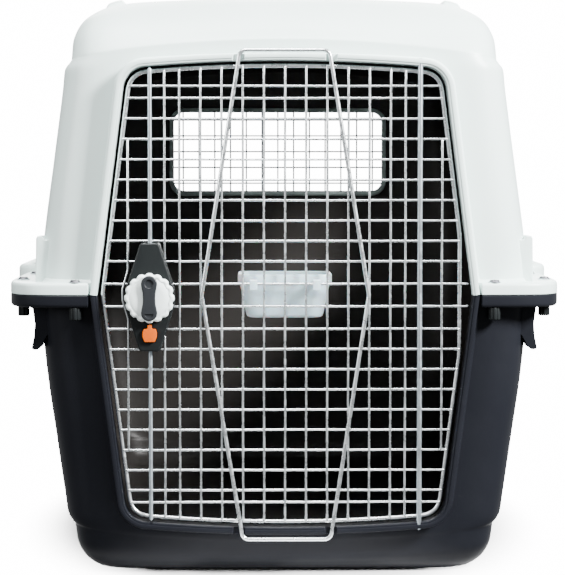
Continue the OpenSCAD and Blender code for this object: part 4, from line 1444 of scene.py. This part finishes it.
@dataclass
class Bowl:
    """Hung water bowl: tapered cup with a rim band and two hooks over a cross wire."""

    finishes: Finishes
    y: float = -376 * MM
    top: float = 360 * MM
    bottom: float = 308 * MM
    hook_x: float = 37.4 * MM
    hook_w: float = 9 * MM

    def make(self) -> None:
        """Builds the cup and its hooks."""
        made = Skin("bowl_cup", self.finishes, Finish.BOWL)
        t, b = self.top, self.bottom
        levels = ((60, 36, 6, b), (84, 60, 12, b), (89.5, 65.5, 14, b + 0.0012),
                  (92.0, 68.0, 15, b + 0.004), (98.0, 74.0, 15, b + 0.018),
                  (104.5, 80.5, 15, b + 0.034), (106.8, 82.8, 15, t - 0.0126),
                  (107.6, 83.6, 15, t - 0.0112), (110.6, 86.6, 15.5, t - 0.0110),
                  (111.6, 87.6, 15.8, t - 0.0104), (112, 88, 16, t - 0.0094),
                  (112, 88, 16, t - 0.0014), (111.2, 87.2, 15.6, t - 0.0003),
                  (110, 86, 15, t), (106.4, 82.4, 14, t), (105.2, 81.2, 13.5, t - 0.0005),
                  (104.6, 80.6, 13, t - 0.0016), (104.0, 80.0, 13, t - 0.004),
                  (101, 77, 13, t - 0.018), (92, 68, 13, b + 0.010), (88, 64, 12, b + 0.0045),
                  (82, 58, 10, b + 0.0024), (60, 36, 6, b + 0.0022))
        rings = []
        for width, depth, radius, z in levels:
            ring = rounded_rectangle(width * MM, depth * MM, radius * MM, 144)
            rings.append(np.column_stack([ring[:, 0], self.y + ring[:, 1], np.full(144, z)]))
        made.grid(np.stack(rings), around=True, caps=True)
        strap = rounded([(-432.4, 342), (-429.8, 342), (-429.8, 351.4), (-418.6, 351.4),
                         (-418.6, 354.2), (-432.4, 354.2)], 0.9 * MM, 120)
        for side in (-1, 1):
            def put(p: np.ndarray, middle: float = side * self.hook_x) -> np.ndarray:
                """Stands the strap's side view upright, across the door."""
                return np.column_stack([middle + p[:, 2], p[:, 0], p[:, 1]])
            made.prism(strap, -self.hook_w / 2, self.hook_w / 2, 0.6 * MM, put, rounds=3)
        made.build("bowl", ["water_bowl"], sharp=50)


@dataclass
class Fasteners:
    """Thumb nuts below the flange, all in one piece of twelve."""

    finishes: Finishes
    places: Sequence[tuple[float, float]] = ((248, -425), (317, -350), (316, -215), (316, 241),
                                             (317, 376), (248, 450.5))
    top: float = 321.3 * MM
    bottom: float = 306.5 * MM
    radius: float = 7 * MM

    def make(self) -> None:
        """Builds the fluted nuts."""
        made = Skin("thumb_nuts", self.finishes, Finish.BLACK)
        t = np.linspace(0, 2 * math.pi, 96, endpoint=False)
        r = self.radius - 1.0 * MM * (0.5 - 0.5 * np.cos(8 * t)) ** 3
        outline = np.stack([r * np.cos(t), r * np.sin(t)], 1)
        for side in (-1, 1):
            for x, y in self.places:
                made.prism(moved(outline, side * x * MM, y * MM), self.bottom, self.top,
                           0.8 * MM, lying_flat, rounds=3, low_bevel=1.6 * MM)
        made.build("shell", ["flange_thumb_nuts"], sharp=50)


# ---------------------------------------------------------------- studio
@dataclass
class Studio:
    """White product studio: floor, soft lights, world and camera."""

    lens: float = 130.5
    eye: tuple[float, float, float] = (-0.033, -2.885, 0.486)
    aim: tuple[float, float, float] = (-0.003, -0.425, 0.345)
    ambient: float = 0.35
    backdrop: float = 16.0

    def floor(self) -> None:
        """Pale floor under the kennel that fades into the white surroundings."""
        p = Paint("studio_floor")
        spot = p.node("ShaderNodeVectorMath", {"operation": "LENGTH"}, {0: p.place((1.7, 1, 1))},
                      "Value")
        p.set(Base_Color=p.mix(rgba(0.93, 0.93, 0.93), rgba(0.90, 0.90, 0.90), p.noise(0.8)),
              Roughness=0.7 + p.noise(0.02) * 0.1, Alpha=1.0 - spot.smooth(0.46, 0.62))
        rings = np.array([0.02, 0.3, 0.6, 0.8, 1.0])[:, None, None]
        turn = np.linspace(0, 2 * math.pi, 64, endpoint=False)
        flat = np.stack([np.cos(turn), np.sin(turn), np.zeros(64)], 1)
        grid = (rings * flat).reshape(-1, 3)
        i, j = np.meshgrid(np.arange(4), np.arange(64), indexing="ij")
        k = (j + 1) % 64
        quads = np.stack([i * 64 + j, (i + 1) * 64 + j, (i + 1) * 64 + k, i * 64 + k], -1)
        mesh = bpy.data.meshes.new("studio_floor")
        mesh.from_pydata(grid.tolist(), [], quads.reshape(-1, 4).tolist() + [list(range(64))])
        mesh.materials.append(p.material)
        floor = bpy.data.objects.new("studio_floor", mesh)
        bpy.context.scene.collection.objects.link(floor)

    def lamp(self, name: str, place: Sequence[float], aim: Sequence[float], size: float,
             power: float) -> None:
        """One soft square lamp that looks at a point."""
        data = bpy.data.lights.new(name, "AREA")
        data.shape = "SQUARE"
        data.size = size
        data.energy = power
        lamp = bpy.data.objects.new(name, data)
        lamp.location = place
        lamp.rotation_euler = (Vector(aim) - Vector(place)).to_track_quat("-Z", "Y").to_euler()
        bpy.context.scene.collection.objects.link(lamp)

    def world(self) -> None:
        """White surroundings: bright to the camera, dim as a light."""
        world = bpy.data.worlds.new("studio_world")
        world.use_nodes = True
        tree = world.node_tree
        dim = tree.nodes["Background"]
        dim.inputs["Color"].default_value = rgba(0.97, 0.985, 1.0)
        dim.inputs["Strength"].default_value = self.ambient
        bright = tree.nodes.new("ShaderNodeBackground")
        bright.inputs["Color"].default_value = rgba(1.0, 1.0, 1.0)
        bright.inputs["Strength"].default_value = self.backdrop
        path = tree.nodes.new("ShaderNodeLightPath")
        mix = tree.nodes.new("ShaderNodeMixShader")
        tree.links.new(path.outputs["Is Camera Ray"], mix.inputs[0])
        tree.links.new(dim.outputs[0], mix.inputs[1])
        tree.links.new(bright.outputs[0], mix.inputs[2])
        tree.links.new(mix.outputs[0], tree.nodes["World Output"].inputs["Surface"])
        bpy.context.scene.world = world

    def camera(self) -> None:
        """Long lens from just above the middle of the door."""
        data = bpy.data.cameras.new("camera")
        data.lens = self.lens
        data.clip_end = 30.0
        camera = bpy.data.objects.new("camera", data)
        camera.location = self.eye
        way = Vector(self.aim) - Vector(self.eye)
        camera.rotation_euler = way.to_track_quat("-Z", "Y").to_euler()
        bpy.context.scene.collection.objects.link(camera)
        bpy.context.scene.camera = camera

    def make(self) -> None:
        """Builds the studio."""
        self.floor()
        self.world()
        self.lamp("key", (2.3, -1.85, 2.1), (0.1, -0.4, 0.4), 0.8, 680.0)
        self.lamp("top", (-0.3, -1.0, 2.9), (0, -0.2, 0.5), 1.4, 210.0)
        self.lamp("fill", (-2.7, -1.9, 1.3), (-0.1, -0.3, 0.3), 1.3, 70.0)
        self.lamp("back", (0.0, 2.9, 1.7), (0, 0.3, 0.4), 2.4, 160.0)
        self.camera()


# ---------------------------------------------------------------- the whole kennel
class Kennel:
    """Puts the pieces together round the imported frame."""

    kept = {Finish.BOLT: ("flange_bolts",), Finish.BLACK: ("latch_back_plate",),
            Finish.ROD: ("flange_washers", "latch_screws", "latch_pinion", "rack_upper",
                         "rack_lower", "button_spring"),
            Finish.WIRE: ("rear_window_grille", "left_window_grille", "right_window_grille")}

    def __init__(self, nodes: dict[str, bpy.types.Object]) -> None:
        """Keeps the frame's nodes and the shared sizes."""
        self.nodes = nodes
        self.finishes = Finishes()
        self.plan = Plan(seam=336 * MM)

    def dress(self) -> None:
        """Gives the frame nodes that stay in view their finishes."""
        for finish, names in self.kept.items():
            for name in names:
                slots = self.nodes[name].data.materials
                for k in range(len(slots)):
                    slots[k] = self.finishes[finish]

    def make(self) -> None:
        """Builds everything."""
        UpperShell(self.plan, self.finishes).make()
        LowerShell(self.plan, self.finishes).make()
        Door(self.plan, self.finishes).make()
        Latch(self.finishes).make()
        Bowl(self.finishes).make()
        Fasteners(self.finishes).make()
        self.dress()


def main() -> None:
    """Builds the scene round the frame."""
    logging.basicConfig(level=logging.INFO, format="%(name)s: %(message)s")
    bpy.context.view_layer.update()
    Studio().make()
    Kennel(frame["nodes"]).make()


if __name__ == "__main__":
    main()
